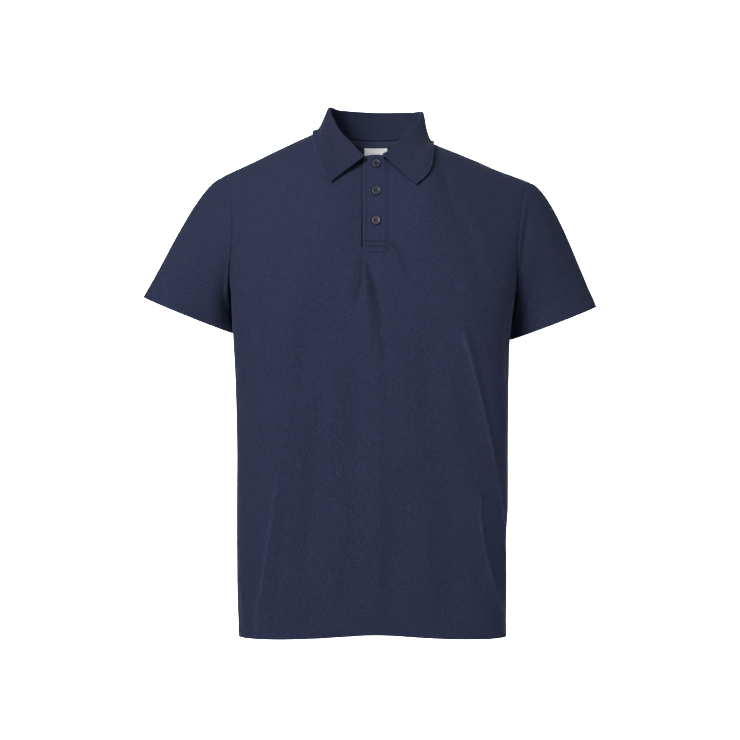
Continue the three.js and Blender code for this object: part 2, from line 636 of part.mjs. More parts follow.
function makeBand(band, offset) {
  const shares = spread(frontShare(band.left), frontShare(band.right), BAND_STEPS.across);
  const levels = spread(frontLevel(band.foot), frontLevel(band.head), BAND_STEPS.up);
  return stripOn(frontPanel, shares, levels, offset, BAND_WALL);
}

// A strip inside the back, from the points of its own wall, moved in.
function stripInsideBack(shares, levels, gap) {
  const inner = BACK_GRIDS[1];
  const place = (list, at) => {
    let i = 0;
    while (i < list.length - 2 && list[i + 1] <= at) i += 1;
    return [i, (at - list[i]) / (list[i + 1] - list[i])];
  };
  const grid = (distance) => levels.map((level) => shares.map((share) => {
    const [i, t] = place(BACK_LEVELS, level);
    const [j, u] = place(BACK_SHARES, share);
    const point = sum(
      [inner[i][j], (1 - t) * (1 - u)],
      [inner[i][j + 1], (1 - t) * u],
      [inner[i + 1][j], t * (1 - u)],
      [inner[i + 1][j + 1], t * u],
    );
    return point.addScaledVector(panelNormal(backPanel, share, level), -distance);
  }));
  return wall(grid(gap), grid(gap + TAPE_WALL));
}

function makeNeckTape() {
  const middle = BACK_SHARES.indexOf(0);
  const inner = BACK_SHARES.slice(middle - NECK_COLUMNS + 1, middle + NECK_COLUMNS);
  const last = (sign) => sign * TAPE_END * shareAt(backPanel, 2, NECK.half - SHORT_OF_CORNER, sign);
  return stripInsideBack([last(-1), ...inner, last(1)], [backLevel(TAPE_DEEP), backLevel(1)], LAY_GAP);
}

function makeNeckLabel() {
  const top = TAPE_DEEP + 2 * SEAM_GAP;
  const reach = shareAt(backPanel, backLevel(top), LABEL.half);
  const levels = spread(top + LABEL.deep, top, LABEL_STEPS).map(backLevel);
  return stripInsideBack(spread(-reach, reach, LABEL_STEPS), levels, 2 * LAY_GAP);
}

// Joins and cuts are made on solids whose shared vertices are one.
const wasm = await Module();
wasm.setup();

function toSolid(geometry) {
  const keys = new Map();
  const points = [];
  const position = geometry.getAttribute("position");
  const merged = Array.from({ length: position.count }, (_, i) => {
    const point = [position.getX(i), position.getY(i), position.getZ(i)];
    const key = point.map((value) => Math.round(value * SAME_POINT)).join(" ");
    if (!keys.has(key)) {
      keys.set(key, points.length / 3);
      points.push(...point);
    }
    return keys.get(key);
  });
  const index = geometry.index ? [...geometry.index.array] : merged.map((_, i) => i);
  const triangles = [];
  for (let i = 0; i < index.length; i += 3) {
    const corner = [merged[index[i]], merged[index[i + 1]], merged[index[i + 2]]];
    if (new Set(corner).size === 3) triangles.push(...corner);
  }
  const mesh = new wasm.Mesh({
    numProp: 3,
    vertProperties: new Float32Array(points),
    triVerts: new Uint32Array(triangles),
  });
  return new wasm.Manifold(mesh);
}

function fromSolid(solid) {
  const { vertProperties, triVerts } = solid.getMesh();
  const geometry = new THREE.BufferGeometry();
  geometry.setAttribute("position", new THREE.Float32BufferAttribute(vertProperties, 3));
  geometry.setIndex([...triVerts]);
  geometry.computeVertexNormals();
  return geometry;
}

// A sewn-through button lying flat, its face up: a turned disc with a rim, less its holes.
function makeButton() {
  const { radius, thick, rim, dish } = BUTTON;
  const { flat, foot, head, slope } = BUTTON_BEVEL;
  const profile = [
    [0, 0],
    [radius * flat, 0],
    [radius, thick * foot],
    [radius, thick * head],
    [radius - rim / 2, thick],
    [radius - rim, thick],
    [radius - rim * slope, thick - dish],
    [0, thick - dish],
  ].map(([x, y]) => new THREE.Vector2(x, y));
  let solid = toSolid(new THREE.LatheGeometry(profile, BUTTON_SIDES));
  for (let i = 0; i < HOLES.count; i += 1) {
    const angle = (2 * Math.PI * (i + 0.5)) / HOLES.count;
    const drill = new THREE.CylinderGeometry(HOLES.radius, HOLES.radius, thick * 3, HOLE_SIDES);
    drill.translate(HOLES.ring * Math.cos(angle), 0, HOLES.ring * Math.sin(angle));
    solid = solid.subtract(toSolid(drill));
  }
  return fromSolid(solid);
}

const shirt = new THREE.Group();

function addPiece(name, geometry, finish) {
  const material = new THREE.MeshStandardMaterial({ ...finish, side: THREE.DoubleSide });
  const mesh = new THREE.Mesh(geometry, material);
  mesh.name = name;
  shirt.add(mesh);
  return mesh;
}

addPiece("front", makeFront(), NAVY);
addPiece("back", makeBack(), NAVY);
addPiece("sleeve_left", makeSleeve("right"), NAVY);
addPiece("sleeve_right", makeSleeve("left"), NAVY);
addPiece("collar", makeCollar(), NAVY);
addPiece("placket", makeBand(UPPER_BAND, LAY_GAP), NAVY);
addPiece("under_placket", makeBand(UNDER_BAND, -CLOTH - LAY_GAP - BAND_WALL), NAVY);
addPiece("neck_tape", makeNeckTape(), NAVY);
addPiece("neck_label", makeNeckLabel(), WHITE_TAPE);

// Each button lies on the upper band, its axis along the cloth's normal.
BUTTONS.forEach((height, i) => {
  const level = frontLevel(height);
  const normal = panelNormal(frontPanel, 0, level);
  const button = addPiece(`button_${i + 1}`, makeButton(), DARK_PLASTIC);
  button.position.copy(frontPanel(0, level)).addScaledVector(normal, LAY_GAP + BAND_WALL + LAY_GAP);
  button.quaternion.setFromUnitVectors(vec(0, 1, 0), normal);
});

export default shirt;
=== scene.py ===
"""A short-sleeved polo shirt, filled out as when worn: its cloth, seams, stitches and buttons, in a
plain studio. The surfaces are worked out in millimetres, in the frame's own axes: +Z up, the front
facing -Y, and the origin at the base of the neck between the two high shoulder points."""

import functools

import bmesh
import bpy
import numpy as np
from bpy.props import FloatProperty, FloatVectorProperty, PointerProperty
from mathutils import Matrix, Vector


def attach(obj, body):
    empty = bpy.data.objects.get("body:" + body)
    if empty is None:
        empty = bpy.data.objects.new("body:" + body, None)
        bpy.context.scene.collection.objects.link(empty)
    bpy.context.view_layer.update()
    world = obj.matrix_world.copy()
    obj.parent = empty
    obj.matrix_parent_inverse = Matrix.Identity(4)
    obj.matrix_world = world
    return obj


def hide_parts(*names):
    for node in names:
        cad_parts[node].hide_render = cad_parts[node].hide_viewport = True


bl_info = {
    "name": "Polo Shirt",
    "version": (1, 0, 0),
    "blender": (4, 5, 0),
    "location": "3D View > Sidebar > Shirt",
    "description": "Builds a knitted polo shirt, filled out as worn, in a plain studio",
    "category": "Add Mesh",
}

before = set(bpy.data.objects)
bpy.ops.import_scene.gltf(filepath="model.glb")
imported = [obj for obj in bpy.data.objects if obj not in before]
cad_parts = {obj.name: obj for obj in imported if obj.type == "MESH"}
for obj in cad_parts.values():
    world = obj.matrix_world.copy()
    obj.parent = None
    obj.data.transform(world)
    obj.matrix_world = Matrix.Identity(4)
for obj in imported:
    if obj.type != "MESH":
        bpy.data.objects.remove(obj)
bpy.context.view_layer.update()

MM = 0.001
TURN = 2 * np.pi

# Numbers of samples where a curve is read backwards
NECK_SAMPLES, EDGE_SAMPLES, ARM_SAMPLES = 4001, 2001, 33

# Flat cuts: width and length in metres, area in square metres where it isn't their product, how it is
# held, what it rests on and what is sewn on it
CUTS = {
    "front": (0.60, 0.72, 0.376, "hung", (), ("front_stitches",)),
    "back": (0.52, 0.76, 0.335, "hung", (), ("back_stitches",)),
    "sleeve_left": (0.46, 0.22, 0.055, "hung", (), ("sleeve_left_stitches",)),
    "sleeve_right": (0.46, 0.22, 0.055, "hung", (), ("sleeve_right_stitches",)),
    "collar": (0.52, 0.095, 0.043, "folded", ("front", "back"), ()),
    "placket": (0.035, 0.138, None, "laid", ("front",), ("placket_stitches", "buttonholes")),
    "under_placket": (0.034, 0.130, None, "hung", ("front",), ()),
    "neck_tape": (0.17, 0.0105, None, "hung", ("back",), ()),
    "neck_label": (0.034, 0.042, None, "hung", ("neck_tape",), ()),
}


def table(names, *rows):
    """A table with named columns, as one array for each name."""
    return dict(zip(names.split(), np.array(rows, float).T))


# Torso rings from the hem up: half-widths left and right of the origin, depths before and behind it
TORSO = table(
    "z left right front back",
    (-728, 195.5, 186.0, 118, 108),
    (-640, 198.5, 187.5, 122, 103),
    (-540, 199.3, 188.6, 125, 100),
    (-450, 199.0, 189.0, 127, 99),
    (-350, 200.8, 190.0, 128, 103),
    (-290, 204.5, 192.5, 128, 108),
    (-235, 208.0, 198.5, 126, 114),
    (-150, 212.0, 206.0, 122, 118),
)
WIDEST_Y = -38.0
FRONT_SQUARENESS = 2.6
BACK_SQUARENESS = 2.9
ARMPIT_Z = -235.0
HEM_SIDE, HEM_FRONT, HEM_BACK = -719.0, -709.5, -720.0

# Large soft folds of the rings: angle from the front at foot and head, heights, depth, half-width
FOLDS = table(
    "foot head low high depth half",
    (58, 37, -730, -270, 5.0, 8),
    (-57, -36, -760, -430, 4.0, 7),
    (-22, -17, -700, -300, 3.0, 8),
    (3, 0, -760, -230, -2.0, 7),
    (142, 160, -760, -260, 4.0, 9),
    (-150, -163, -740, -330, 4.5, 9),
)

SIDE_SEAM = np.radians(103)
FRONT_ARM = np.radians(82)
BACK_ARM = np.radians(119)
ARM_RISE = 0.36
ARM_PACE = 1.3
SCOOP_LEFT, SCOOP_RIGHT, SCOOP_PACE = 4.0, 2.8, 1.3

NECK_HALF, NECK_Y, NECK_FRONT, NECK_BACK = 80.0, 5.0, 78.0, 71.0
NECK_Z, NECK_DROP, NECK_DIP, NECK_TILT = -10.0, 19.75, 9.25, -8.75

# Shoulder tips and the sag of the seam up to them, left of the picture and right of it
TIP = {-1: (-227.5, 12.0, -61.0), 1: (226.5, 12.0, -67.6)}
SAG = {-1: -0.6, 1: 1.2}

# Cuffs: lowest outer point, half-length and half-depth, then slopes in degrees
CUFF = {
    -1: {"end": (-338.3, 10.0, -233.5), "half": 71.0, "depth": 45.0, "rise": 22.0, "run": 60.0},
    1: {"end": (320.5, 10.0, -247.5), "half": 67.5, "depth": 45.0, "rise": 21.0, "run": 66.0},
}
CUFF_DIP = 0.04
CAP_REACH_TOP, CAP_REACH_FOOT = 105.0, 35.0
CAP_TOP, CAP_FOOT = np.array([0.92, 0, -0.39]), np.array([0.35, 0, -0.94])
CUFF_FOOT = np.array([0.15, 0, -1.0])

# Collar: angle from the front, then the fold line and the outer edge
COLLAR_NAMES = "turn fold_x fold_y fold_z edge_x edge_y edge_z"
COLLAR = {
    -1: table(
        COLLAR_NAMES,
        (12, 16.5, -86.5, -37, 63, -102, -77),
        (18, 22.4, -81.2, -31.5, 71.5, -99.5, -68),
        (28, 33.5, -69, -18.5, 78.5, -95, -54),
        (45, 50.5, -47, 2, 83.5, -81, -38),
        (67, 62, -18, 25, 89.5, -47, -15),
        (90, 66, 5, 42, 92, 4, 5.5),
        (135, 51, 57, 44.5, 72, 66, 1),
        (180, 0, 80, 44, 0, 85, -8),
        (225, -51, 57, 41.5, -68, 66, -7),
    ),
    1: table(
        COLLAR_NAMES,
        (6, 8.3, -87, -35, 56, -100, -80),
        (14, 17, -82, -29.5, 68.5, -94, -69),
        (27, 30.5, -68.5, -15, 77, -85, -55),
        (45, 47, -47, 1, 80.5, -71, -38),
        (67, 60, -18, 19, 83, -39, -21),
        (90, 66, 5, 35.5, 85, 4, -7),
        (135, 51, 57, 41.5, 68, 66, -7),
        (180, 0, 80, 44, 0, 85, -8),
        (225, -51, 57, 44.5, -72, 66, 1),
    ),
}
FOLD_RADIUS = 2.8
STAND, FALL = 0.44, 0.56

COLLAR_WALL = 1.7

# Seams, hems and bands: a seam's groove and its half-width, how far the cloth turns in beside it, and
# the widths over which relief dies out at a seam, at the sides, at the top, at the cap and underarm
SEAM_GROOVE, GROOVE_HALF, TURN_IN = 0.8, 1.6, 1.5
STILL, SIDE_CALM, TOP_CALM, CAP_CALM, UNDERARM_CALM = 1.2, 7, 9, 8, 10
SEAM_PUCKER, HEM_PUCKER = 6, 5
HEM_DEEP, CUFF_DEEP = 17.0, 26.0
HEM_STEP = 2.5
HEM_ROWS = (4.4, 1.2)
STITCH_GROOVE, STITCH_HALF = 0.6, 0.9
COLLAR_SEAM = 0.6
FALL_EASE = 1.2
LEAF_LIFT, LEAF_ROLL = 1.8, 6.0
# Where a leaf ends, in degrees round the neck, and the curl at its point
LEAF_END, LEAF_FADE = 40, 35
CURL, CURL_REACH = 0.4, 16
LAY_GAP = 0.12
SLOT_HALF, SLOT_FOOT = 15.5, -166.0
BAND = {"left": -17.7, "right": 17.3, "foot": -175.0, "head": -39.8}
UNDER_BAND = {"left": -17.3, "right": 16.9, "foot": -172.0, "head": -41.5}
BAND_STITCHES = (-13.7, 14.7)
HEAD_RISE = 5.0
BOX_STITCHES = (-160.7, -167.2)
BUTTONS = (-49.2, -88.8, -130.8)
BAND_COLUMNS, BAND_ROWS = 36, 190
# The arch of a band's head, the pull of its side stitches, the ring pressed in round each button and
# the slack above it
ARCH_DEEP, ARCH_HALF = 9, 19
ARCH_WAY = np.array([0, 0.35, 0.94])
SIDE_PULL, RING_RADIUS, RING_HALF = 1.0, 6.4, 1.1
SLACK_HIGH, SLACK_HALF = 8, 5
WELT_HALF = 1.9
TAPE_DEEP, TAPE_HALF = 10.0, 73.0
LABEL_HALF, LABEL_DEEP = 17.0, 42.0
TAPE_TOP, TAPE_COLUMNS, TAPE_ROWS = 0.6, 90, 10
LABEL_TOP, LABEL_COLUMNS, LABEL_ROWS = 0.5, 24, 30
# The back's row whose points place the columns of the tape and the label
TAPE_LINE = -12
SLEEVES = {"sleeve_left": 1, "sleeve_right": -1}

# Rows and columns of the fine grids: steps in millimetres from an edge, and in degrees at the collar's
# ends, the lengths that they are shares of, and the numbers of even steps between them
HEM_STEPS = (0, 0.06, 0.25, 0.6, 1.5, 3, 5, 7.5, 9.6, 10.4, 11, 11.6, 12.4, 13.4, 14, 14.6, 15.4, 17, 19.5)
CUFF_STEPS = (28, 26.2, 25.4, 24.8, 24.2, 23.2, 22.2, 21.6, 21, 20, 17, 13.5, 10, 6.5, 3.5, 1.6, 0.6, 0.2, 0)
SEAM_STEPS = (0, 0.4, 1, 1.9, 3.2, 5.2)
TOP_STEPS = (5.5, 3.4, 2, 1.1, 0.5, 0)
COLLAR_STEPS = (4.5, 3.2, 2.2, 1.5, 1, 0.6, 0.3, 0.1, 0)
BAND_STEPS = (0, 0.03, 0.12, 0.35, 0.8)
END_TURNS = (0, 0.06, 0.16, 0.32, 0.6)
BODY_LENGTH, YOKE_LENGTH, HALF_GIRTH, CAP_LENGTH, SLEEVE_LENGTH, FALL_LENGTH = 480, 200, 280, 150, 165, 70
LOWER_START, FOOT_REACH = 23, 0.27
# Stretches of a panel's half width: from, to, number of columns, and how many of them are kept
STRETCHES = ((0, 0.075, 6, 6), (0.088, 0.146, 26, 26), (0.16, 0.4, 17, 16), (0.4, 0.76, 46, 45))
LOWER_ROWS, FOOT_ROWS, UPPER_ROWS, SLEEVE_ROWS = 134, 21, 45, 44
STAND_ROWS, FOLD_ROWS, FALL_ROWS, COLLAR_COLUMNS = 24, 13, 34, 118

# Seeds of the random waves
FRONT_SEED, BACK_SEED, SLEEVE_SEED, COLLAR_SEED = 11, 23, 37, 51
WAVE_COUNT, WAVE_SHORT, WAVE_LONG = 16, 30, 140
PUCKER_COUNT, PUCKER_SHORT, PUCKER_LONG = 5, 7, 19

# Lifting the collar off the panels: reach of the mean, points in a batch, stride between the panels'
# points that count, and a limit on what is lacking, as a share of the ease
NEAR_REACH, BATCH, STRIDE, MOST_LACK = 8.0, 2000, 3, 30

# Threads: sides, how far out of the cloth they lie, the share of a stitch in its pitch, points along a
# hem, a cuff, the band's sides and the lines of its box, and the band's own pitch and stitch
THREAD_SIDES, THREAD_LIFT, STITCH_SHARE = 5, 0.02, 0.84
HEM_POINTS, CUFF_POINTS, SIDE_POINTS, BOX_POINTS = 500, 400, 200, 60
BAND_PITCH, BAND_STITCH = 2.7, 2.3
# Buttonholes: half the length, half the width, stitches on a side, their length and radius
BUTTONHOLE = {"half": 7.5, "side": 0.85, "stitches": 26, "length": 1.5, "radius": 0.22}

# Button: steps of its radius from the middle, the hump of its rim, and its holes
BUTTON_STEPS = (
    *(0, 0.35, 0.7, 1.0, 1.2, 1.4, 1.6, 1.8, 2.0, 2.2, 2.4, 2.6, 2.9, 3.3, 3.7),
    *(4.0, 4.3, 4.6, 4.9, 5.2, 5.5, 5.75, 5.92, 6.0),
)
BUTTON_UNDER = table("radius height", (5.95, 0.9), (5.7, 0.4), (5.2, 0.12), (4.4, 0), (2.5, 0), (0, 0))
BUTTON_COLUMNS = 72
HOLES, HOLE_PLACE, HOLE_HALF, HOLE_DEEP = 4, 1.7, 0.62, 1.45
# The ring painted lighter on each button's rim, a painted reflection: its radius and half-width
PAINTED_RIM_RADIUS, PAINTED_RIM_HALF = 5.0, 0.6
BUTTON_LIFT = 0.1
# The thread in its holes: height above the seat, places to the side, length and radius
BARS_HIGH, BARS_SIDE, BARS_LONG, BARS_RADIUS = 1.85, 1.2, 3.2, 0.24
BARS = (-1, -0.6, 0.6, 1)

KNIT_SHEEN = {
    "Sheen_Weight": 0.04,
    "Sheen_Roughness": 0.45,
    "Sheen_Tint": (0.62, 0.7, 1.0, 1.0),
    "Specular_IOR_Level": 0.08,
}
PIQUE_CELL = (0.0028, 0.0022)
PIQUE_DEPTH, PIQUE_MOTTLE = 0.0004, 1.9
RIB, COURSE, TWILL, WEFT, WARP = 0.00125, 0.0011, 0.0011, 0.0004, 0.0006
# Scales of the noise, to the metre
HEATHER, FINE_HEATHER, SPECKLE, FUZZ = 360, 1000, 420, 1500
SATIN_CLOUD, THREAD_TONE, THREAD_TWIST = 300, 1300, 3200

# Studio, in metres: the floor, the curve behind it and the wall, then each lamp's place, what it
# faces, its width and its spread in degrees
FLOOR_Z, FLOOR_HALF, CURVE_Y, CURVE, WALL_HIGH = -1.45, 9.0, 3.0, 2, 7.0
LAMPS = {
    "key": ((-1.35, -2.5, 1.2), (0.06, 0, -0.04), 1.1, 95),
    "fill": ((3.0, -1.5, -1.1), (0.1, 0, -0.35), 1.8, 180),
    "backdrop": ((0, 3.2, 2.6), (0, 5.0, -0.5), 3.0, 120),
}
BACKDROP_POWER = 420
CAMERA_X, CAMERA_Z = -0.0087, -0.3393
SENSOR, FARTHEST = 36, 50

# Creases in flat millimetres from the centre line and the armpits: lower point, upper point, bow to
# the right, half-widths to the left and right, height, and the share over which each end fades
FRONT_CREASES = (
    (206, -398, 115, -15, 5, 13, 4.5, 3.6, 0.2),
    (206, -398, 117, -60, 5, 2.4, 2.2, 0.9, 0.16),
    (204, -470, 146, -250, -17, 10, 4.5, 2.8, 0.25),
    (197, -460, 147, -262, -16, 2.2, 2.2, 0.8, 0.2),
    (196, -486, 180, -420, -2, 4, 4, 1.1, 0.3),
    (236, -500, 214, -300, 6, 14, 18, -3.6, 0.3),
    (-180, -500, -135, -215, 0, 7, 12, 3.2, 0.25),
    (-179, -498, -138, -240, 0, 2.2, 2.2, 0.8, 0.15),
    (-158, -500, -122, -250, 2, 8, 12, -3.0, 0.3),
    (-196, -500, -204, -400, 3, 6, 5, 1.8, 0.3),
    (-140, -260, -108, 70, 3, 24, 16, 5.6, 0.3),
    (-112, -460, -84, -90, 8, 17, 13, -5.6, 0.35),
    (-80, -330, -62, -40, 4, 9, 14, 2.2, 0.35),
    (-30, -34, -19, 76, 2, 6, 3.2, -2.8, 0.3),
    (14, -100, -18, 60, 2, 4.0, 9, -3.0, 0.22),
    (9, -60, -18, 60, 2, 2.2, 2.2, -1.2, 0.16),
    (-5, -90, -14, 60, -3, 9, 5, 2.6, 0.35),
    (-18.4, 64, -18.4, 207, 0, 1.5, 0.9, -3.2, 0.05),
    (50, 20, 14, 86, 3, 3.4, 7, -2.2, 0.25),
    (38, 20, 15, 70, 3, 3, 6, 1.2, 0.35),
    (-168, -30, -128, 118, 8, 13, 16, -2.2, 0.35),
    (172, -18, 134, 120, -8, 15, 12, -2.2, 0.35),
    (-214, -120, -205, 6, 5, 8, 12, -1.8, 0.35),
    (218, -150, 203, 4, -6, 12, 8, -2.0, 0.35),
    (66, -400, 78, -150, 5, 20, 18, 2.0, 0.35),
    (96, -470, 108, -230, 5, 16, 18, -2.6, 0.35),
    (20, -480, 26, -250, 4, 18, 16, -1.6, 0.35),
    (-60, 70, -34, 190, 6, 16, 12, 1.8, 0.35),
    (40, 84, 36, 180, -4, 12, 14, -1.2, 0.35),
    (-64, 162, -96, 228, 3, 5, 4, -1.8, 0.25),
    (-150, 120, -98, 178, -6, 16, 12, -1.6, 0.35),
    (-206, 60, -120, 150, -8, 14, 18, 1.6, 0.35),
)
# Lines along the front's creases whose tone is painted light and shade, with the same columns: the knit
# is painted lighter, as a highlight along a crease's ridge, where a height is above zero, and darker, as
# painted shade beside and below the placket and along the collar's leaves, where it is below
FRONT_PAINTED_LINES = (
    (206, -398, 116, -40, 5, 1.8, 1.8, 1.0, 0.1),
    (197, -460, 147, -262, -16, 1.6, 1.6, 0.9, 0.15),
    (-179, -498, -138, -240, 0, 1.6, 1.6, 0.7, 0.12),
    (-18.4, 68, -18.4, 206, 0, 1.4, 0.9, -1.1, 0.04),
    (8, -50, -18, 60, 2, 2.6, 2.6, -0.6, 0.3),
    (-29, -20, -19, 72, 2, 2.0, 2.0, -0.4, 0.4),
    (-64, 163, -95, 228, 3, 3.2, 3.2, -0.5, 0.25),
    (42, 34, 14, 84, 3, 2.2, 2.2, -0.35, 0.3),
)
BACK_CREASES = (
    (-150, -470, -110, -60, 10, 14, 9, 2.4, 0.25),
    (160, -480, 118, -90, -8, 9, 15, 2.2, 0.25),
    (-60, -430, -44, -120, 5, 16, 20, -1.8, 0.3),
    (52, -400, 40, -60, -5, 18, 15, -1.6, 0.3),
    (-8, -470, 2, -260, 3, 10, 12, 1.3, 0.35),
    (-178, -20, -128, 110, 10, 14, 12, -1.8, 0.35),
    (176, -24, 132, 112, -10, 12, 14, -1.8, 0.35),
    (-205, -490, -192, -330, 3, 6, 9, 1.7, 0.3),
    (208, -490, 190, -352, -3, 9, 6, 1.6, 0.3),
    (-90, 60, 92, 66, -10, 12, 9, -0.9, 0.4),
)
# On the sleeves: flat millimetres round from the tip by way of the front, and down from the armhole
SLEEVE_CREASES = {
    -1: (
        (30, 15, 215, 15, -4, 34, 9, -5.5, 0.35),
        (214, 4, 118, 118, 9, 9, 13, 1.7, 0.3),
        (190, 2, 66, 84, 8, 12, 15, -1.3, 0.35),
        (150, 20, 152, 140, 4, 9, 7, -0.9, 0.35),
        (252, 6, 318, 112, -9, 13, 9, 1.6, 0.3),
        (280, 4, 390, 88, -8, 14, 12, -1.3, 0.35),
        (60, 6, 52, 96, 3, 12, 16, 0.8, 0.4),
    ),
    1: (
        (40, 10, 215, 10, -3, 14, 7, -2.4, 0.35),
        (216, 4, 132, 122, 8, 10, 12, 1.9, 0.3),
        (188, 2, 78, 90, 10, 13, 14, -1.5, 0.35),
        (148, 26, 160, 150, 3, 8, 8, -1.0, 0.35),
        (254, 6, 322, 116, -8, 12, 10, 1.5, 0.3),
        (284, 4, 388, 92, -9, 12, 13, -1.2, 0.35),
        (44, 8, 58, 104, 3, 14, 12, 0.8, 0.4),
    ),
}
# On the collar: flat millimetres round from the back centre, and up from the outer edge
COLLAR_CREASES = (
    (-150, 4, -128, 44, 2, 7, 10, -0.8, 0.4),
    (148, 4, 126, 42, -2, 10, 7, -0.8, 0.4),
    (-40, 2, -34, 36, 1, 9, 12, 0.6, 0.4),
    (52, 2, 46, 38, 1, 12, 9, -0.6, 0.4),
)


def smooth(x):
    """3x^2 - 2x^3 with x held between 0 and 1."""
    x = np.clip(x, 0, 1)
    return x * x * (3 - 2 * x)


def bell(distance, half, power=2):
    """exp(-(distance / half)^power)."""
    return np.exp(-((distance / half) ** power))


def unit(v):
    """v / |v|, and zero where v is zero."""
    return v / np.maximum(np.linalg.norm(v, axis=-1, keepdims=True), 1e-9)


def dot(a, b):
    """Sum of a_i b_i over the last axis, which is kept."""
    return (a * b).sum(-1, keepdims=True)


def stack(*parts):
    """Vectors from their three components."""
    return np.stack(np.broadcast_arrays(*parts), -1)


def hermite(p, dp, q, dq, t):
    """(1+2t)(1-t)^2 p + t(1-t)^2 p' + t^2(3-2t) q - t^2(1-t) q'."""
    start = p * (1 + 2 * t) * (1 - t) ** 2 + dp * t * (1 - t) ** 2
    return start + q * t * t * (3 - 2 * t) - dq * t * t * (1 - t)


def along(rows, key, column, at):
    """Cubic through a table's rows: a hermite span between neighbours, its slope at row i being
    (y[i+1] - y[i-1]) / (x[i+1] - x[i-1])."""
    x, y = rows[key], rows[column]
    ahead = np.minimum(np.arange(len(x)) + 1, len(x) - 1)
    behind = np.maximum(np.arange(len(x)) - 1, 0)
    slope = (y[ahead] - y[behind]) / (x[ahead] - x[behind])
    at = np.clip(at, x[0], x[-1])
    i = np.clip(np.searchsorted(x, at, side="left") - 1, 0, len(x) - 2)
    span = x[i + 1] - x[i]
    return hermite(y[i], slope[i] * span, y[i + 1], slope[i + 1] * span, (at - x[i]) / span)


def fold_depth(angle, z):
    """Sum over the folds of depth exp(-((angle - centre) / half)^2), where centre runs from foot to
    head with t = (z - low) / (high - low), faded by smooth(5t) smooth(5 - 5t)."""
    depth = 0
    degrees = np.degrees(angle)
    for foot, head, low, high, deep, half in zip(*FOLDS.values()):
        t = (z - low) / (high - low)
        ridge = bell(degrees - foot - (head - foot) * t, half)
        depth = depth + deep * ridge * smooth(5 * t) * smooth(5 - 5 * t)
    return depth


def ring(angle, z):
    """Torso ring: (x, y) = r (sin a, -cos a) about the widest line, with
    r = (|cos a / depth|^n + |sin a / half|^n)^(-1/n) less the folds' depth."""
    c, s = np.cos(angle), np.sin(angle)
    half = np.where(s < 0, along(TORSO, "z", "left", z), along(TORSO, "z", "right", z))
    front = along(TORSO, "z", "front", z) + WIDEST_Y
    back = along(TORSO, "z", "back", z) - WIDEST_Y
    depth = np.where(c > 0, front, back)
    n = np.where(c > 0, FRONT_SQUARENESS, BACK_SQUARENESS)
    r = (np.abs(c / depth) ** n + np.abs(s / half) ** n) ** (-1 / n) - fold_depth(angle, z)
    return stack(r * s, WIDEST_Y - r * c, z)


def neck_seam(turn):
    """(w sin t, y0 - reach cos t, z0 - drop cos t - dip cos 2t + tilt sin^3 t)."""
    c, s = np.cos(turn), np.sin(turn)
    z = NECK_Z - NECK_DROP * c - NECK_DIP * np.cos(2 * turn) + NECK_TILT * s**3
    return stack(NECK_HALF * s, NECK_Y - np.where(c > 0, NECK_FRONT, NECK_BACK) * c, z)


def shoulder_seam(share, sign):
    """From the neck to the tip, eased by (q - q^5/8) / (7/8), less sag sin(pi q)."""
    q = np.clip(share, 0, 1)[..., None]
    tip = np.where(sign[..., None] < 0, TIP[-1], TIP[1])
    sag = np.where(sign < 0, SAG[-1], SAG[1]) * np.sin(np.pi * q[..., 0])
    neck = neck_seam(sign * np.pi / 2)
    return neck + (tip - neck) * (q - q**5 / 8) / (1 - 1 / 8) - stack(0, 0, sag)


def neck_end(sign, front):
    """Ring angle at the armpits where |x| is a quarter turn of the neck's half-width."""
    ends = (0, FRONT_ARM) if front else (np.pi, BACK_ARM)
    angles = np.linspace(*ends, NECK_SAMPLES)
    reach = np.abs(ring(sign * angles, np.full(NECK_SAMPLES, ARMPIT_Z))[:, 0])
    return np.interp(NECK_HALF * np.pi / 2, reach, angles)


NECK_END = {(sign, front): neck_end(sign, front) for sign in (-1, 1) for front in (True, False)}


def upper_edge(angle):
    """Neck or shoulder seam above a ring angle, and the cloth's unit direction as it gets there:
    (0, .55 + .45w, .83 - .88w) in front and (0, -.35 - .65w, .94 - .89w) behind, w = sin^2 of the
    neck's angle, and 1 along the shoulder."""
    sign = np.where(angle < 0, -1, 1)
    front = np.abs(angle) < SIDE_SEAM
    ends = [[NECK_END[s, f] for s in (-1, 1)] for f in (True, False)]
    end = np.where(front, np.where(sign < 0, *ends[0]), np.where(sign < 0, *ends[1]))
    share = (np.abs(angle) - end) / (np.where(front, FRONT_ARM, BACK_ARM) - end)
    turn = np.minimum(np.abs(ring(angle, np.full(angle.shape, ARMPIT_Z))[..., 0]) / NECK_HALF, np.pi / 2)
    on_neck = neck_seam(sign * np.where(front, turn, np.pi - turn))
    shoulder = (share > 0)[..., None]
    w = np.where(share > 0, 1, np.sin(turn) ** 2)
    ahead = stack(0 * w, 0.55 + 0.45 * w, 0.83 - 0.88 * w)
    behind = stack(0 * w, -0.35 - 0.65 * w, 0.94 - 0.89 * w)
    point = np.where(shoulder, shoulder_seam(share, sign), on_neck)
    return point, unit(np.where(front[..., None], ahead, behind))


def body(angle, level):
    """Rings from the hem, level 0, to the armpits, level 1, then hermite curves from the ring there to
    the upper edge, level 2, both slopes scaled by their chord."""
    angle, level = np.broadcast_arrays(np.asarray(angle, float), np.asarray(level, float))
    c = np.cos(angle)
    hem = HEM_SIDE + (np.where(c > 0, HEM_FRONT, HEM_BACK) - HEM_SIDE) * c * c
    low = ring(angle, hem + (ARMPIT_Z - hem) * np.clip(level, 0, 1))
    step = 2.0
    flat = np.full(angle.shape, ARMPIT_Z)
    base = ring(angle, flat)
    rise = (ring(angle, flat + step) - ring(angle, flat - step)) / (2 * step)
    point, slope = upper_edge(angle)
    chord = np.linalg.norm(point - base, axis=-1, keepdims=True)
    high = hermite(base, rise * chord, point, slope * chord, (level - 1)[..., None])
    return np.where((level > 1)[..., None], high, low)


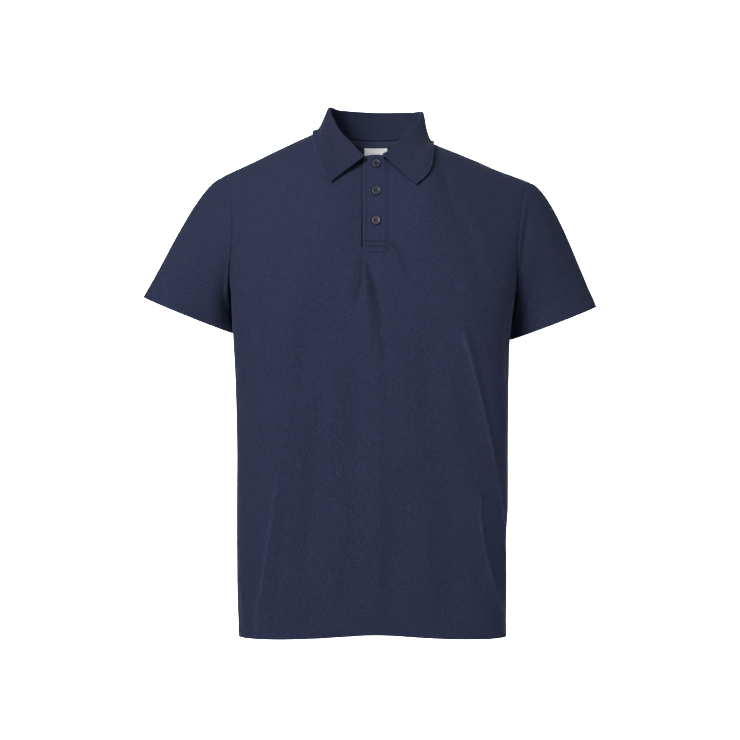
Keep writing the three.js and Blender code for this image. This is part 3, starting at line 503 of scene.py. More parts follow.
def edge_angle(level, arm):
    """Side seam's angle up to the armpit, then arm + (side - arm)(1 - sqrt(1 - (1 - q)^2)), a rounded
    foot over the first part of the armhole."""
    q = np.clip((level - 1) / ARM_RISE, 0, 1)
    return arm + (SIDE_SEAM - arm) * (1 - np.sqrt(1 - (1 - q) ** 2))


def front_panel(share, level):
    """body(side s - (side - edge) s^3 - scoop sin(pi u^1.3) s^5, level) for a share s from -1 to 1,
    where u is the share of the way up the armhole."""
    share, level = np.broadcast_arrays(np.asarray(share, float), np.asarray(level, float))
    up = np.clip(level - 1, 0, 1) ** SCOOP_PACE
    scoop = np.radians(np.where(share < 0, SCOOP_LEFT, SCOOP_RIGHT)) * np.sin(np.pi * up)
    narrowing = SIDE_SEAM - edge_angle(level, FRONT_ARM)
    return body(SIDE_SEAM * share - narrowing * share**3 - scoop * share**5, level)


def back_panel(share, level):
    """body(pi - (pi - side) s - (side - edge) s^3, level), mirrored for a negative share."""
    share, level = np.broadcast_arrays(np.asarray(share, float), np.asarray(level, float))
    a = np.abs(share)
    angle = np.pi - (np.pi - SIDE_SEAM) * a - (SIDE_SEAM - edge_angle(level, BACK_ARM)) * a**3
    return body(np.where(share < 0, -angle, angle), level)


def arm_level(turn):
    """Level of the panels' side edges round an armhole: 1 + (1 - fall)^pace, where fall runs from 0 at
    the tip, turn 0, to 1 at the armpit, turn pi, by way of the front, and back."""
    return 1 + (1 - np.where(turn <= np.pi, turn / np.pi, 2 - turn / np.pi)) ** ARM_PACE


def armhole(sign, turn):
    """The panels' side edges round an armhole, the front's and then the back's."""
    level = arm_level(turn)
    return np.where((turn <= np.pi)[..., None], front_panel(sign, level), back_panel(sign, level))


ARM_CENTRE = {sign: armhole(sign, np.linspace(0, TURN, ARM_SAMPLES)[1:]).mean(0) for sign in (-1, 1)}


def sleeve_surface(sign, turn, share):
    """Hermite curves from the armhole to the cuff ellipse
    end + half (cos t - 1) outwards + depth sin t forwards."""
    turn, share = np.broadcast_arrays(np.asarray(turn, float), np.asarray(share, float))
    cuff = CUFF[sign]
    rise, run = np.radians(cuff["rise"]), np.radians(cuff["run"])
    outwards = np.array([sign * np.cos(rise), 0, np.sin(rise)])
    forwards = np.array([0, -1, -CUFF_DIP])
    c, s = np.cos(turn)[..., None], np.sin(turn)[..., None]
    end = np.array(cuff["end"]) + cuff["half"] * (c - 1) * outwards + cuff["depth"] * s * forwards
    low = (1 - c) / 2
    mirror = np.array([sign, 1, 1])
    leave = unit(CAP_TOP * (1 - low) + CAP_FOOT * low) * mirror
    arrive = unit(np.array([np.cos(run), 0, -np.sin(run)]) * (1 - low) + CUFF_FOOT * low) * mirror
    start = armhole(sign, turn)
    reach = CAP_REACH_TOP * (1 - low) + CAP_REACH_FOOT * low
    chord = np.linalg.norm(end - start, axis=-1, keepdims=True)
    return hermite(start, leave * reach, end, arrive * chord, share[..., None])


def normals(grid):
    """Unit cross products of the grid's two differences, columns by rows."""
    return unit(np.cross(np.gradient(grid, axis=1), np.gradient(grid, axis=0)))


def round_normals(grid):
    """Normals of a grid whose last column meets its first."""
    return normals(np.concatenate([grid[:, -1:], grid, grid[:, :1]], 1))[:, 1:-1]


def turned(direction, towards, share):
    """Unit directions turned by a share towards others."""
    share = share[..., None]
    return unit(direction * (1 - share) + towards * share)


def arcs(grid, axis):
    """Distances along a grid's rows (axis 1) or columns (axis 0), from the first to the last."""
    steps = np.linalg.norm(np.diff(grid, axis=axis), axis=-1)
    start = np.zeros_like(np.take(steps, [0], axis=axis))
    return np.concatenate([start, np.cumsum(steps, axis=axis)], axis=axis)


def edge_distances(grid):
    """Arc lengths from each point to the left, right, lower and upper edges of its grid."""
    rows, columns = arcs(grid, 1), arcs(grid, 0)
    return rows, rows[:, -1:] - rows, columns, columns[-1:] - columns


def across_and_up(grid, middle, base):
    """Flat coordinates of a cloth's points: arc length along its rows from the middle column, and along
    its columns from the base row."""
    across, up = arcs(grid, 1), arcs(grid, 0)
    return across - across[:, [middle]], up - up[[base], :]


def creases(rows, across, up):
    """Sum over the creases of height * bell * fade. Each runs from one point to another, bowed by
    bow * 4t(1 - t) to its right, its bell is exp(-(d / half)^2) of the distance d across it with a
    half-width of its own on each side, and it fades over a share of its length at both ends. Its
    height wanders by up to a quarter."""
    total = np.zeros(across.shape)
    for x0, y0, x1, y1, bow, left, right, height, fade in rows:
        length = np.hypot(x1 - x0, y1 - y0)
        ahead = np.array([x1 - x0, y1 - y0]) / length
        t = ((across - x0) * ahead[0] + (up - y0) * ahead[1]) / length
        d = (across - x0) * ahead[1] - (up - y0) * ahead[0] - bow * 4 * t * (1 - t)
        wander = 1 + 0.25 * np.sin(9 * t + x0) * np.sin(4 * t + y0)
        ridge = bell(d, np.where(d < 0, left, right))
        total += height * wander * ridge * smooth(t / fade) * smooth((1 - t) / fade)
    return total


def unevenness(across, up, seed, height, upright=0.35):
    """Sum of sines of random length, phase and direction, mostly across the cloth, each as high as its
    length allows."""
    draw = np.random.default_rng(seed)
    length = draw.uniform(WAVE_SHORT, WAVE_LONG, WAVE_COUNT)
    angle = draw.normal(0, upright, WAVE_COUNT)
    phase = draw.uniform(0, TURN, WAVE_COUNT)
    total = np.zeros(across.shape)
    for size, turn, start in zip(length, angle, phase):
        total += size / 100 * np.sin(TURN * (across * np.cos(turn) + up * np.sin(turn)) / size + start)
    return total * height / 2


def puckers(along_seam, distance, seed, height, reach):
    """height * exp(-d / reach) * (1 - exp(-(d / 1.5)^2)) times short waves along a seam."""
    draw = np.random.default_rng(seed)
    waves = 0
    for size in draw.uniform(PUCKER_SHORT, PUCKER_LONG, PUCKER_COUNT):
        waves = waves + np.sin(TURN * along_seam / size + draw.uniform(0, 6)) / 2
    return height * np.exp(-distance / reach) * (1 - bell(distance, 1.5)) * waves


def stitch_rows(deep):
    """Distances from its fold of the stitch rows of a hem of this depth."""
    return [deep - below for below in HEM_ROWS]


def turned_hem(distance, deep, lift=0.5):
    """A hem's relief: lift * smooth step down above its depth, less a groove at each stitch row."""
    step = 1 - smooth((distance - deep + 1) / HEM_STEP)
    grooves = sum(bell(distance - row, STITCH_HALF) for row in stitch_rows(deep))
    return lift * step - STITCH_GROOVE * grooves


def resample(grid, at, axis):
    """Hermite spans through a grid's rows or columns at fractional indices, the slope at each being half
    the step between its neighbours."""
    last = grid.shape[axis] - 1
    i = np.clip(np.floor(at).astype(int), 0, last - 1)
    shape = [1] * grid.ndim
    shape[axis] = -1
    a, b, c, d = (np.take(grid, np.clip(i + k, 0, last), axis) for k in (-1, 0, 1, 2))
    return hermite(b, (c - a) / 2, c, (d - b) / 2, (at - i).reshape(shape))


class Panel:
    """A cloth's fine grid: parameters of its columns and rows, its face and the outward normals."""

    def __init__(self, columns, rows, face, outward, across, up):
        self.columns, self.rows, self.face = columns, rows, face
        self.outward, self.across, self.up = outward, across, up

    def indices(self, columns, rows):
        """Fractional indices of rows and of columns."""
        i = np.interp(rows, self.rows, np.arange(len(self.rows)))
        return i, np.interp(columns, self.columns, np.arange(len(self.columns)))

    def patch(self, columns, rows):
        """Points of the face at other columns and rows, and their normals."""
        i, j = self.indices(columns, rows)
        face = resample(resample(self.face, i, 0), j, 1)
        return face, unit(resample(resample(self.outward, i, 0), j, 1))

    def points(self, columns, rows, offset):
        """Single points of the face, one for each pair of a column and a row, moved out by an offset,
        and their normals."""
        i, j = self.indices(columns, rows)
        a = np.clip(np.floor(i).astype(int), 0, len(self.rows) - 2)
        b = np.clip(np.floor(j).astype(int), 0, len(self.columns) - 2)
        t, u = (i - a)[:, None], (j - b)[:, None]

        def blend(grid):
            low = grid[a, b] * (1 - u) + grid[a, b + 1] * u
            return low * (1 - t) + (grid[a + 1, b] * (1 - u) + grid[a + 1, b + 1] * u) * t

        out = unit(blend(self.outward))
        return blend(self.face) + out * offset, out


def seam_direction(sign, level):
    """Where the seam at a panel's side pulls the cloth: straight in at the side seam, and turning to the
    middle of the armhole above it."""
    centre = unit(ARM_CENTRE[sign] - front_panel(sign, np.maximum(level, 1)))
    share = smooth((level - 1) / 0.08)[..., None]
    return unit(np.array([-sign, 0, 0]) * (1 - share) + centre * share)


def fine_levels(stops):
    """Rows from the hem to the upper edge: close at the hem and its stitches, at the armhole's foot and
    at the top, with one row at each stop."""
    near_hem = np.array(HEM_STEPS) / BODY_LENGTH
    lower = np.linspace(LOWER_START / BODY_LENGTH, 1, LOWER_ROWS)
    foot = 1 + FOOT_REACH * np.linspace(0, 1, FOOT_ROWS)[1:] ** 2
    near_top = 2 - np.array(TOP_STEPS) / YOKE_LENGTH
    upper = np.linspace(foot[-1], near_top[0], UPPER_ROWS)[1:-1]
    levels = np.concatenate([near_hem, lower, foot, upper, near_top])
    for stop in stops:
        levels[np.argmin(np.abs(levels - stop))] = stop
    return levels


def fine_shares(panel, stops):
    """Columns from one side to the other, close at both seams, with one at each stop and at each high
    shoulder point."""
    near_side = 1 - np.array(SEAM_STEPS[::-1]) / HALF_GIRTH
    spans = [np.linspace(low, high, steps)[:kept] for low, high, steps, kept in STRETCHES]
    half = np.concatenate([*spans, np.linspace(STRETCHES[-1][1], near_side[0], 17)[:-1], near_side])
    shares = np.concatenate([-half[:0:-1], half])
    trial = np.linspace(0, 1, EDGE_SAMPLES)
    for sign in (-1, 1):
        x = np.abs(panel(sign * trial, np.full(EDGE_SAMPLES, 2.0))[:, 0])
        stops = [*stops, sign * np.interp(NECK_HALF, x, trial)]
    for stop in stops:
        shares[np.argmin(np.abs(shares - stop))] = stop
    return shares


def front_level(z):
    """Level of the front's centre line at a height above the armpits."""
    levels = np.linspace(1, 2, EDGE_SAMPLES)
    return np.interp(z, front_panel(0, levels)[:, 2], levels)


def front_share(x):
    """atan(x / depth) / side seam: the share at a distance from the centre line, where the ring is flat."""
    depth = along(TORSO, "z", "front", np.array(ARMPIT_Z)) + WIDEST_Y
    return np.arctan(x / depth) / SIDE_SEAM


def make_panel(panel, shares, levels, outward_y, crease_rows, seed, strength):
    """The panel's surface, moved along its normals by its creases, its unevenness, its hem and the
    puckers at its seams, and drawn in along the seams by a narrow groove exp(-(d / half)^2)."""
    share, level = np.meshgrid(shares, levels)
    base = panel(share, level)
    out = normals(base)
    out = out * np.sign((out[..., 1] * outward_y).mean())
    middle = len(shares) // 2
    across, up = across_and_up(base, middle, np.argmin(np.abs(levels - 1)))
    left, right, from_hem, from_top = edge_distances(base)
    side = np.minimum(left, right)
    relief = creases(crease_rows, across, up) + unevenness(across, up, seed, 0.3)
    relief *= strength * (1 - bell(side, SIDE_CALM)) * (1 - bell(from_top, TOP_CALM))
    relief += puckers(up, side, seed + 1, 0.22, SEAM_PUCKER)
    relief += puckers(across, from_top, seed + 2, 0.2, SEAM_PUCKER)
    relief += turned_hem(from_hem, HEM_DEEP)
    relief += puckers(across, np.abs(from_hem - HEM_DEEP), seed + 3, 0.2, HEM_PUCKER)
    relief *= 1 - bell(side, STILL)
    face = base + out * relief[..., None]
    sign = np.where(share < 0, -1, 1)
    pull = np.where((sign < 0)[..., None], seam_direction(-1, level), seam_direction(1, level))
    face = face + pull * (SEAM_GROOVE * bell(side, GROOVE_HALF))[..., None]
    on_shoulder = smooth((np.abs(face[..., 0]) - NECK_HALF + 4) / 8)
    face[..., 2] -= SEAM_GROOVE * bell(from_top, GROOVE_HALF) * on_shoulder * (1 - bell(side, 3))
    outward = normals(face)
    outward *= np.sign((outward * out).sum())
    inward = turned(-outward, np.array([0, 0, -1.0]), bell(from_top, TURN_IN) * on_shoulder)
    inward = turned(inward, pull, bell(side, TURN_IN))
    inward /= np.maximum(np.abs(dot(inward, outward)), 0.5)
    made = Panel(shares, levels, face, outward, across, up)
    made.inward, made.from_hem = inward, from_hem
    return made


def round_edge(distance, radius):
    """Share of its thickness that a wall has at a distance d from its round edge:
    sqrt(1 - (1 - d / r)^2), and at least a tenth."""
    left = 1 - np.clip(distance / radius, 0, 1)
    return np.sqrt(np.maximum(1 - left**2, 0.01))


def with_wall(face, outward, inward, thickness, distance):
    """Face and back grids of a wall, both drawn in towards its middle by its free edge."""
    wall = thickness * round_edge(distance, thickness / 2)
    front = face - outward * ((thickness - wall) / 2)[..., None]
    return front, front + inward * wall[..., None]


def mesh_object(name, vertices, faces, finish, uvs=None, edge=None, slot="pique_knit", nodes=()):
    """An object from arrays in millimetres: points, quads or triangles by index, its material, a UV for
    each corner and a tone for each point."""
    mesh = bpy.data.meshes.new(name)
    count, corners = faces.shape
    mesh.vertices.add(len(vertices))
    mesh.vertices.foreach_set("co", (vertices * MM).astype(np.float32).ravel())
    mesh.loops.add(count * corners)
    mesh.loops.foreach_set("vertex_index", faces.astype(np.int32).ravel())
    mesh.polygons.add(count)
    mesh.polygons.foreach_set("loop_start", np.arange(0, count * corners, corners, dtype=np.int32))
    mesh.polygons.foreach_set("use_smooth", np.ones(count, bool))
    if uvs is not None:
        layer = mesh.uv_layers.new(name="Cloth")
        layer.data.foreach_set("uv", (uvs * MM).astype(np.float32).ravel())
    if edge is not None:
        attribute = mesh.attributes.new("edge", "FLOAT", "POINT")
        attribute.data.foreach_set("value", edge.astype(np.float32))
    mesh.update(calc_edges=True)
    mesh.validate()
    mesh.materials.append(finish)
    made = bpy.data.objects.new(name, mesh)
    bpy.context.scene.collection.objects.link(made)
    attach(made, "root")
    if nodes:
        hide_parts(*nodes)
    return made


def wall_object(name, face, back, across, up, finish, wrap=False, keep=None, edge=None, **facts):
    """A closed wall between two grids. Cells not kept are left open, and the rim follows every edge of
    the kept ones. The flat coordinates become the UV."""
    rows, columns = face.shape[:2]
    cells = columns if wrap else columns - 1
    kept = np.ones((rows - 1, cells), bool) if keep is None else keep
    i, j = np.nonzero(kept)
    beside = (j + 1) % columns

    def corner(row, column, layer):
        return (row * columns + column) + layer * rows * columns

    quads = [
        np.stack([corner(i, j, 0), corner(i, beside, 0), corner(i + 1, beside, 0), corner(i + 1, j, 0)], 1),
        np.stack([corner(i, j, 1), corner(i + 1, j, 1), corner(i + 1, beside, 1), corner(i, beside, 1)], 1),
    ]
    texture = np.stack([across, up], -1)
    if wrap:
        girth = across[:, -1:] + np.linalg.norm(face[:, :1] - face[:, -1:], axis=-1)
        texture = np.concatenate([texture, np.stack([girth, up[:, :1]], -1)], 1)

    def uv(row, column):
        return texture[row, column]

    uvs = [
        np.stack([uv(i, j), uv(i, j + 1), uv(i + 1, j + 1), uv(i + 1, j)], 1),
        np.stack([uv(i, j), uv(i + 1, j), uv(i + 1, j + 1), uv(i, j + 1)], 1),
    ]
    around = np.zeros((rows + 1, cells + 2), bool)
    around[1:-1, 1:-1] = kept
    if wrap:
        around[:, 0], around[:, -1] = around[:, -2], around[:, 1]
    rims = (
        (around[:-2, 1:-1], (0, 1), (0, 0)),
        (around[2:, 1:-1], (1, 0), (1, 1)),
        (around[1:-1, :-2], (0, 0), (1, 0)),
        (around[1:-1, 2:], (1, 1), (0, 1)),
    )
    for neighbour, (a_row, a_column), (b_row, b_column) in rims:
        m, n = np.nonzero(kept & ~neighbour)
        a, b = (m + a_row, (n + a_column) % columns), (m + b_row, (n + b_column) % columns)
        quads.append(np.stack([corner(*a, 0), corner(*b, 0), corner(*b, 1), corner(*a, 1)], 1))
        first, second = uv(m + a_row, n + a_column), uv(m + b_row, n + b_column)
        uvs.append(np.stack([first, second, second, first], 1))
    quads = np.concatenate(quads)
    uvs = np.concatenate(uvs)
    vertices = np.concatenate([face.reshape(-1, 3), back.reshape(-1, 3)])
    a, b, c, d = (vertices[quads[:, k]] for k in range(4))
    volume = (a * np.cross(b, c)).sum() + (a * np.cross(c, d)).sum()
    if volume < 0:
        quads, uvs = quads[:, ::-1], uvs[:, ::-1]
    used, place = np.unique(quads, return_inverse=True)
    weight = None if edge is None else np.concatenate([edge.ravel(), edge.ravel()])[used]
    quads = place.reshape(-1, 4)
    return mesh_object(name, vertices[used], quads, finish, uvs.reshape(-1, 2), weight, **facts)


def sleeve_turns():
    """Angles round the armhole at the rows of the two panels, so that the sleeve meets each row's end."""

    def turn_at(level):
        return np.pi * (1 - (level - 1) ** (1 / ARM_PACE))

    levels = fine_levels([])
    down = [turn_at(level) for level in levels[levels >= 1][::-1]]
    up = [TURN - turn_at(level) for level in levels[(levels > 1) & (levels < 2)]]
    return np.array([*down, *up])


def make_sleeve(sign, crease_rows, seed, strength):
    """A sleeve's surface round the arm and down it, with its creases, its hem and the groove at its seam."""
    turns = sleeve_turns()
    near_seam = np.array(SEAM_STEPS) / CAP_LENGTH
    near_cuff = 1 - np.array(CUFF_STEPS) / SLEEVE_LENGTH
    between = np.linspace(near_seam[-1], near_cuff[0], SLEEVE_ROWS)[1:-1]
    shares = np.concatenate([near_seam, between, near_cuff])
    turn, share = np.meshgrid(turns, shares)
    base = sleeve_surface(sign, turn, share)
    middle = base.mean(1, keepdims=True)
    out = round_normals(base)
    out = out * np.sign(dot(out, base - middle).mean())
    across, down = across_and_up(base, 0, 0)
    from_cuff = down[-1:] - down
    relief = creases(crease_rows, across, down) + unevenness(across, down, seed, 0.5, 1.2)
    relief *= strength * (1 - bell(down, CAP_CALM))
    ends = np.minimum(across, across[:, -1:] - across)
    relief *= 1 - bell(ends, UNDERARM_CALM)
    relief += puckers(across, down, seed + 1, 0.25, SEAM_PUCKER) + turned_hem(from_cuff, CUFF_DEEP)
    relief += puckers(across, np.abs(from_cuff - CUFF_DEEP), seed + 2, 0.2, HEM_PUCKER)
    relief *= 1 - bell(down, STILL)
    face = base + out * relief[..., None]
    pull = np.broadcast_to(seam_direction(sign, arm_level(turns)), face.shape)
    face = face + pull * (SEAM_GROOVE * bell(down, GROOVE_HALF))[..., None]
    outward = round_normals(face)
    outward *= np.sign((outward * out).sum())
    inward = turned(-outward, pull, bell(down, TURN_IN))
    inward = inward / np.maximum(np.abs(dot(inward, outward)), 0.5)
    made = Panel(turns, shares, face, outward, across, down)
    made.inward, made.from_cuff = inward, from_cuff
    return made


@functools.cache
def front_cloth(strength):
    """The front's cloth, with columns at the slot's edges and a row at its foot."""
    edge = float(front_share(SLOT_HALF))
    shares = fine_shares(front_panel, [-edge, edge])
    levels = fine_levels([front_level(SLOT_FOOT)])
    return make_panel(front_panel, shares, levels, -1, FRONT_CREASES, FRONT_SEED, strength)


@functools.cache
def back_cloth(strength):
    """The back's cloth."""
    shares = fine_shares(back_panel, [])
    return make_panel(back_panel, shares, fine_levels([]), 1, BACK_CREASES, BACK_SEED, strength)


def panels(strength):
    """The front and the back by name."""
    return {"front": front_cloth(strength), "back": back_cloth(strength)}


@functools.cache
def sleeve_cloth(sign, strength):
    """A sleeve's cloth, left of the picture for -1 and right of it for 1."""
    return make_sleeve(sign, SLEEVE_CREASES[sign], SLEEVE_SEED + sign, strength)


def lift_off(points, clearance, strength):
    """Moves points out from the panels. Height is the mean of (p - c) . n over the panels' points c,
    weighted by exp(-(|p - c|^2 - least) / (2 reach^2)), and a point moves along the mean normal by
    ease * log(1 + exp((clearance - height) / ease))."""

    def gathered(kind):
        cloths = panels(strength).values()
        grids = [getattr(cloth, kind)[cloth.rows > 1.5][::STRIDE, ::STRIDE] for cloth in cloths]
        return np.concatenate([grid.reshape(-1, 3) for grid in grids])

    cloud, out = gathered("face"), gathered("outward")
    flat = points.reshape(-1, 3)
    moved = np.empty_like(flat)
    for start in range(0, len(flat), BATCH):
        batch = slice(start, start + BATCH)
        part = flat[batch]
        gap = (part**2).sum(1)[:, None] + (cloud**2).sum(1) - 2 * part @ cloud.T
        weight = np.exp(-(gap - gap.min(1, keepdims=True)) / (2 * NEAR_REACH**2))
        weight /= weight.sum(1, keepdims=True)
        mean_out = weight @ out
        height = (part * mean_out).sum(1) - weight @ (cloud * out).sum(1)
        lack = np.clip((clearance.reshape(-1)[batch] - height) / FALL_EASE, None, MOST_LACK)
        moved[batch] = part + unit(mean_out) * (FALL_EASE * np.log1p(np.exp(lack)))[:, None]
    return moved.reshape(points.shape)


def collar_seam(sign, turn):
    """The neck seam, a little higher."""
    return neck_seam(sign * np.radians(turn)) + np.array([0, 0, COLLAR_SEAM])


def collar_face(sign, turn, share):
    """Up the stand by a hermite curve, over the fold in a half circle and down the fall by another."""

    def row(column):
        return along(COLLAR[sign], "turn", column, turn)

    fold = stack(sign * row("fold_x"), row("fold_y"), row("fold_z"))
    edge = stack(sign * row("edge_x"), row("edge_y"), row("edge_z"))
    seam = collar_seam(sign, turn)
    down = unit((seam + edge) / 2 - fold)
    spread = edge - seam
    out = unit(spread - down * dot(spread, down))
    centre = fold + down * FOLD_RADIUS
    t = share[..., None]
    start, top = seam - out * COLLAR_WALL, centre - out * FOLD_RADIUS
    rise = np.linalg.norm(top - start, axis=-1, keepdims=True)
    stand = hermite(start, top - start, top, -down * rise, np.minimum(t / STAND, 1))
    angle = np.pi * np.clip((t - STAND) / (FALL - STAND), 0, 1)
    over = centre - FOLD_RADIUS * (down * np.sin(angle) + out * np.cos(angle))
    start = centre + out * FOLD_RADIUS
    length = np.linalg.norm(edge - start, axis=-1, keepdims=True)
    below = np.clip((t - FALL) / (1 - FALL), 0, 1)
    fall = hermite(start, down * 0.9 * length, edge, unit(spread) * 0.7 * length, below)
    return np.where(t < STAND, stand, np.where(t <= FALL, over, fall))


def collar_cloth(strength, clearance):
    """The collar's grid from one leaf round the back to the other, eased off the panels under its fall,
    with a raised welt along its outer edge and a curl at the leaves."""

    def turns(sign):
        first = COLLAR[sign]["turn"][0]
        rest = np.linspace(first + 1.2, 180, COLLAR_COLUMNS)
        return np.concatenate([first + np.array(END_TURNS), rest])

    near_edge = 1 - np.array(COLLAR_STEPS) / FALL_LENGTH
    stand, fold = np.linspace(0, STAND, STAND_ROWS), np.linspace(STAND, FALL, FOLD_ROWS)[1:]
    shares = np.concatenate([stand, fold, np.linspace(FALL, near_edge[0], FALL_ROWS)[1:-1], near_edge])
    left, share = np.meshgrid(turns(-1), shares)
    right, share_right = np.meshgrid(turns(1)[::-1][1:], shares)
    face = np.concatenate([collar_face(-1, left, share), collar_face(1, right, share_right)], 1)
    on_fall = shares > FALL
    angle = np.concatenate([turns(-1), turns(1)[::-1][1:]])
    leaf = 1 - smooth((angle - LEAF_END) / LEAF_FADE)
    down = np.clip((shares[on_fall] - FALL) / (1 - FALL), 0, 1)[:, None]
    loose = leaf * (LEAF_LIFT + LEAF_ROLL * (1 - down)) - 0.6 * (1 - leaf)
    room = np.broadcast_to(clearance + loose, face[on_fall].shape[:2])
    face[on_fall] = lift_off(face[on_fall], room, strength)
    out = normals(face)
    high = shares > 0.8
    out *= np.sign((out[high] * (face[high] - np.array([0, 0, -20.0]))).sum())
    across, up = across_and_up(face, len(turns(-1)) - 1, 0)
    left, right, _, from_edge = edge_distances(face)
    from_end = np.minimum(left, right)
    fall = smooth((shares[:, None] - FALL) / 0.1)
    relief = 0.5 * leaf * bell(from_edge, 2.2, 4) + fall * unevenness(across, up, COLLAR_SEED, 0.35)
    relief += fall * CURL * np.exp(-((from_edge / CURL_REACH) ** 2) - (from_end / CURL_REACH) ** 2)
    relief += fall * creases(COLLAR_CREASES, across, from_edge)
    face = face + out * relief[..., None]
    outward = normals(face)
    outward *= np.sign((outward * out).sum())
    made = Panel(across[0], shares, face, outward, across, up)
    made.from_edge, made.from_end = from_edge, from_end
    return made


def strip(panel, columns, rows, gap, thickness, relief):
    """A wall on a panel's points. Its back stands gap(edges) off them and its face is out by the wall
    and relief(face, edges), where edges are the distances to its left, right, lower and upper edges."""
    flat, out = panel.patch(columns, rows)
    edges = edge_distances(flat)
    back = flat + out * (gap(*edges) + 0 * edges[0])[..., None]
    face = back + out * (thickness + relief(flat, *edges))[..., None]
    wall = np.linalg.norm(face - back, axis=-1)
    drawn = (wall * (1 - round_edge(np.minimum.reduce(edges), wall / 2)) / 2)[..., None]
    across, up = across_and_up(face, face.shape[1] // 2, 0)
    return face - out * drawn, back + out * drawn, across, up


def with_edges(low, high, steps):
    """Even steps between two values, with close ones at both ends."""
    close = np.array(BAND_STEPS) / abs(high - low)
    inner = np.linspace(1.6 / abs(high - low), 1 - 1.6 / abs(high - low), steps)
    return low + (high - low) * np.concatenate([close, inner, 1 - close[::-1]])


def thread_template():
    """A stitch: x along it from -1 to 1, and y and z round it with a radius of sqrt(1 - x^4)."""
    turn = TURN * np.arange(THREAD_SIDES) / THREAD_SIDES
    x = np.array([-0.82, 0.0, 0.82])
    radius = np.sqrt(1 - x**4)[:, None]
    ring_points = stack(x[:, None], radius * np.cos(turn), radius * np.sin(turn))
    points = np.concatenate([[[-1, 0, 0]], ring_points.reshape(-1, 3), [[1, 0, 0]]])
    j = np.arange(THREAD_SIDES)
    k = (j + 1) % THREAD_SIDES
    first, middle, last = (1 + THREAD_SIDES * number for number in range(3))
    end = last + THREAD_SIDES
    faces = [np.stack([0 * j, first + k, first + j], 1), np.stack([0 * j + end, last + j, last + k], 1)]
    for low, high in ((first, middle), (middle, last)):
        faces.append(np.stack([low + j, low + k, high + k], 1))
        faces.append(np.stack([low + j, high + k, high + j], 1))
    return points, np.concatenate(faces)


def threads(centres, ahead, out, length, radius, bend=0.22):
    """Stitches at centres along ahead: length / 2 x ahead + radius y sideways + (radius z + bend
    (1 - x^2)) out, so that their ends go down into the cloth."""
    template, faces = thread_template()
    ahead = unit(ahead - out * dot(ahead, out))
    side = np.cross(out, ahead)
    x, y, z = (template[None, :, k, None] for k in range(3))
    points = centres[:, None] + x * length / 2 * ahead[:, None] + radius * y * side[:, None]
    points = points + (radius * z + bend * (1 - x * x) - bend * 0.6) * out[:, None]
    index = faces[None] + np.arange(len(centres))[:, None, None] * len(template)
    return points.reshape(-1, 3), index.reshape(-1, 3)


def seam_threads(points, out, pitch, length, radius):
    """Stitches every pitch along a line of points."""
    run = np.concatenate([[0], np.cumsum(np.linalg.norm(np.diff(points, axis=0), axis=1))])
    at = np.arange(pitch / 2, run[-1] - length / 2, pitch)

    def place(values):
        return np.stack([np.interp(at, run, values[:, k]) for k in range(3)], 1)

    return threads(place(points), place(np.gradient(points, axis=0)), unit(place(out)), length, radius)


def joined(parts):
    """Several sets of points and faces as one."""
    points, faces, count = [], [], 0
    for vertices, index in parts:
        points.append(vertices)
        faces.append(index + count)
        count += len(vertices)
    return np.concatenate(points), np.concatenate(faces)


def button_rings():
    """Button by radius and angle: a rounded rim, a dished middle, four holes that dip by
    deep * smooth(1.6 - d / half), and the underside."""
    r = np.array(BUTTON_STEPS)
    z = 1.7 + 0.7 * smooth((r - 3.6) / 0.9) - 1.1 * np.clip((r - 5.1) / 0.9, 0, 1) ** 2.6
    turn = np.linspace(0, TURN, BUTTON_COLUMNS + 1)[:-1]
    radius, angle = np.concatenate([r, BUTTON_UNDER["radius"]])[:, None], turn[None]
    profile = np.concatenate([z, BUTTON_UNDER["height"]])[:, None]
    height = np.broadcast_to(profile, (len(radius), len(turn))).copy()
    x, y = radius * np.cos(angle), radius * np.sin(angle)
    for k in range(HOLES):
        hole = np.pi / 4 + np.pi / 2 * k
        gap = np.hypot(x - HOLE_PLACE * np.cos(hole), y - HOLE_PLACE * np.sin(hole))
        height[: len(r)] -= HOLE_DEEP * smooth(1.6 - gap[: len(r)] / HOLE_HALF)
    return stack(x, y, height)


class Number:
    """A number in a material. Its sums, products and the like make Math nodes."""

    def __init__(self, finish, socket):
        self.finish, self.socket = finish, socket

    def __add__(self, other):
        return self.finish.maths("ADD", self, other)

    def __sub__(self, other):
        return self.finish.maths("SUBTRACT", self, other)

    def __rsub__(self, other):
        return self.finish.maths("SUBTRACT", other, self)

    def __mul__(self, other):
        return self.finish.maths("MULTIPLY", self, other)

    def __truediv__(self, other):
        return self.finish.maths("DIVIDE", self, other)

    def __rtruediv__(self, other):
        return self.finish.maths("DIVIDE", other, self)

    __radd__ = __add__
    __rmul__ = __mul__

    def sine(self):
        return self.finish.maths("SINE", self)


